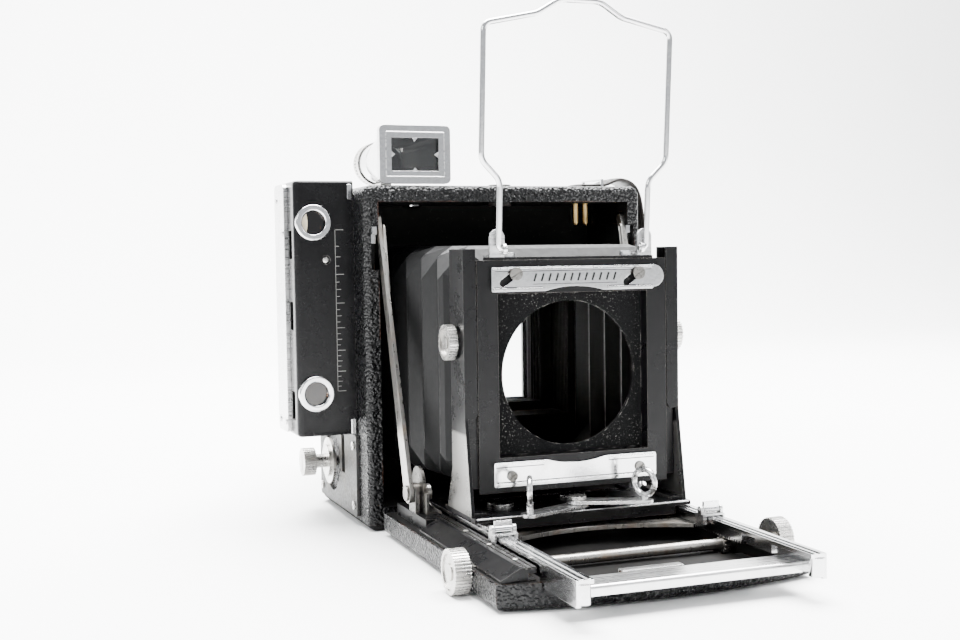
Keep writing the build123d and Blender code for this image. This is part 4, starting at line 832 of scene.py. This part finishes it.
def border_fill(form):
    """The raised line around the finder's front frame."""
    middle_x, front_y, middle_z = finder_middle()
    half_x, half_z = 12.9 * MM, 9.4 * MM
    for side in (-1, 1):
        for low, high in (
            ((-half_x, side * half_z), (half_x, side * half_z)),
            ((side * half_x, -half_z), (side * half_x, half_z)),
        ):
            path = [(middle_x + x, front_y, middle_z + z) for x, z in (low, high)]
            tube_into(form, path, 0.3 * MM, sides=6)


WINDOW_HALF_X, WINDOW_HALF_Z = 10.6 * MM, 7.4 * MM
GUIDE_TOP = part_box("bed_guides")[1][2]
WINDOW_X, WINDOW_ZS = -81.0 * MM, (57.3 * MM, 129.0 * MM)
WINDOW_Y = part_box("rangefinder_housing")[0][1] + 0.14 * MM
GLASS_RADIUS = 4.6 * MM
CEILING = 137.1 * MM
RECESS_FLOOR = 5.15 * MM
STRUT_LUG_YZ = (-70.0 * MM, 21.5 * MM)
COIL_RADIUS = 2.9 * MM
PALE_PAINT = make_enamel("pale_line_paint", wear_and_highlight=0.0, gloss=0.5, colour=(0.2, 0.2, 0.19))
# Painted reflection: the pale gold crescent on the upper window's glass.
GOLD_REFLECTION = make_enamel("painted_gold_reflection", wear_and_highlight=0.0, gloss=0.2, colour=(0.62, 0.55, 0.4))
RUSTY_BRASS = make_metal("rusty_brass", (0.3, 0.17, 0.07), 0.4, grime=0.85, dirt=(0.22, 0.09, 0.03), spots=0.8)
# Dark paint for the engraved clip marks, and for the painted shade lines inside the clips' borders.
DARK_PAINT_AND_SHADE = make_enamel("dark_paint_and_shade_lines", wear_and_highlight=0.0, gloss=0.45, colour=(0.008, 0.008, 0.008))
for name, fill, finish, body, slot in (
    ("distance_scale", scale_fill, PALE_PAINT, "camera_body", "black_enamel"),
    ("clip_marks", clip_marks_fill, DARK_PAINT_AND_SHADE, "upper_clip", "black_enamel"),
    ("upper_clip_shade_lines", upper_lines_fill, DARK_PAINT_AND_SHADE, "upper_clip", "black_enamel"),
    ("lower_clip_shade_lines", lower_lines_fill, DARK_PAINT_AND_SHADE, "lens_frame", "black_enamel"),
    # Painted highlight: a bright line along the base's front edge.
    ("base_edge_highlight", base_edge_fill, BRIGHT, "standard", "chrome"),
    ("window_crescent", crescent_fill, GOLD_REFLECTION, "camera_body", "glass"),
    ("bed_catch_plate", catch_plate_fill, BRIGHT, "bed", "chrome"),
    ("bed_worn_strip", worn_strip_fill, RUSTY_BRASS, "bed", "brass"),
    ("rangefinder_screws", screws_fill, NICKEL, "camera_body", "satin_nickel"),
    ("guide_screws", guide_screws_fill, NICKEL, "bed", "satin_nickel"),
    ("ceiling_button", inner_button_fill, CHROME, "camera_body", "chrome"),
    ("ceiling_pins", pins_fill, BRASS, "camera_body", "brass"),
    ("retaining_clips", retaining_clips_fill, CHROME, "camera_body", "chrome"),
    ("lug_coils", coil_fill, STEEL, "bed", "brass"),
    ("finder_marks", notch_fill, BRIGHT, "camera_body", "chrome"),
    ("finder_lining", lining_fill, DULL_ENAMEL, "camera_body", "black_enamel"),
    ("finder_border", border_fill, BRIGHT, "camera_body", "chrome"),
):
    piece(name, fill, finish, body, smooth=False)


# ---- stage ----
SWEEP_START, SWEEP_RADIUS = 0.9, 0.6


def stage():
    """A pale floor that curves up behind, with soft lights above and beside."""
    floor_z = CAD_BOX[0][2]
    shade = Shade("pale_sweep", Roughness=0.7, Specular_IOR_Level=0.2)
    mottle = shade.noise(3.0, 2.0)
    pale = shade.blend(shade.range(mottle, 0.3, 0.7), (0.90, 0.905, 0.90), (0.93, 0.93, 0.925))
    shade.feed("Base Color", pale)

    def fill(form):
        rows = []
        outline = [(-3.0, 0.0), (SWEEP_START, 0.0)]
        for k in range(1, 13):
            a = k / 12 * math.pi / 2
            y = SWEEP_START + SWEEP_RADIUS * math.sin(a)
            outline.append((y, SWEEP_RADIUS - SWEEP_RADIUS * math.cos(a)))
        outline += [(1.5, 3.0)]
        for y, z in outline:
            rows.append([form.verts.new((x, y, z + floor_z)) for x in (-4.0, 4.0)])
        for near, far in zip(rows, rows[1:]):
            form.faces.new((near[0], near[1], far[1], far[0]))

    floor = piece("floor_sweep", fill, shade.made, None)
    world = bpy.data.worlds.new("soft_room")
    bpy.context.scene.world = world
    world.use_nodes = True
    world.node_tree.nodes["Background"].inputs["Color"].default_value = (0.93, 0.96, 1.0, 1.0)
    world.node_tree.nodes["Background"].inputs["Strength"].default_value = 1.0
    for name, power, size, place in (
        ("top_light", 230.0, 1.5, (0.1, 0.3, 1.35)),
        ("left_light", 12.0, 0.5, (-1.3, -0.75, 0.75)),
        ("right_light", 5.0, 0.4, (1.0, -1.1, 0.7)),
        ("backdrop_light", 120.0, 1.6, (0.2, 0.2, 1.9)),
    ):
        light = bpy.data.lights.new(name, "AREA")
        light.energy = power
        light.size = size
        lamp = bpy.data.objects.new(name, light)
        bpy.context.collection.objects.link(lamp)
        lamp.location = place
        target = Vector((0.3, 1.6, 0.4)) if name == "backdrop_light" else Vector((0, -0.05, 0.06))
        lamp.rotation_euler = (target - Vector(place)).to_track_quat("-Z", "Y").to_euler()


stage()

CAMERA_PLACE = (-0.20484, -0.55140, 0.11468)


def aim_camera():
    """The camera stands in front of the object, to its left, at about its own height."""
    yaw, pitch, roll = (math.radians(a) for a in (20.47, 2.9, -0.84))
    ahead = Vector((math.sin(yaw) * math.cos(pitch), math.cos(yaw) * math.cos(pitch), -math.sin(pitch)))
    right = Vector((math.cos(yaw), -math.sin(yaw), 0.0))
    up = right.cross(ahead)
    side = right * math.cos(roll) + up * math.sin(roll)
    head = up * math.cos(roll) - right * math.sin(roll)
    lens = bpy.data.cameras.new("view")
    lens.lens = 48.35
    lens.sensor_width = 36.0
    lens.clip_start = 0.01
    camera = bpy.data.objects.new("view", lens)
    bpy.context.collection.objects.link(camera)
    pose = Matrix((side, head, -ahead)).transposed().to_4x4()
    pose.translation = CAMERA_PLACE
    camera.matrix_world = pose
    bpy.context.scene.camera = camera


aim_camera()
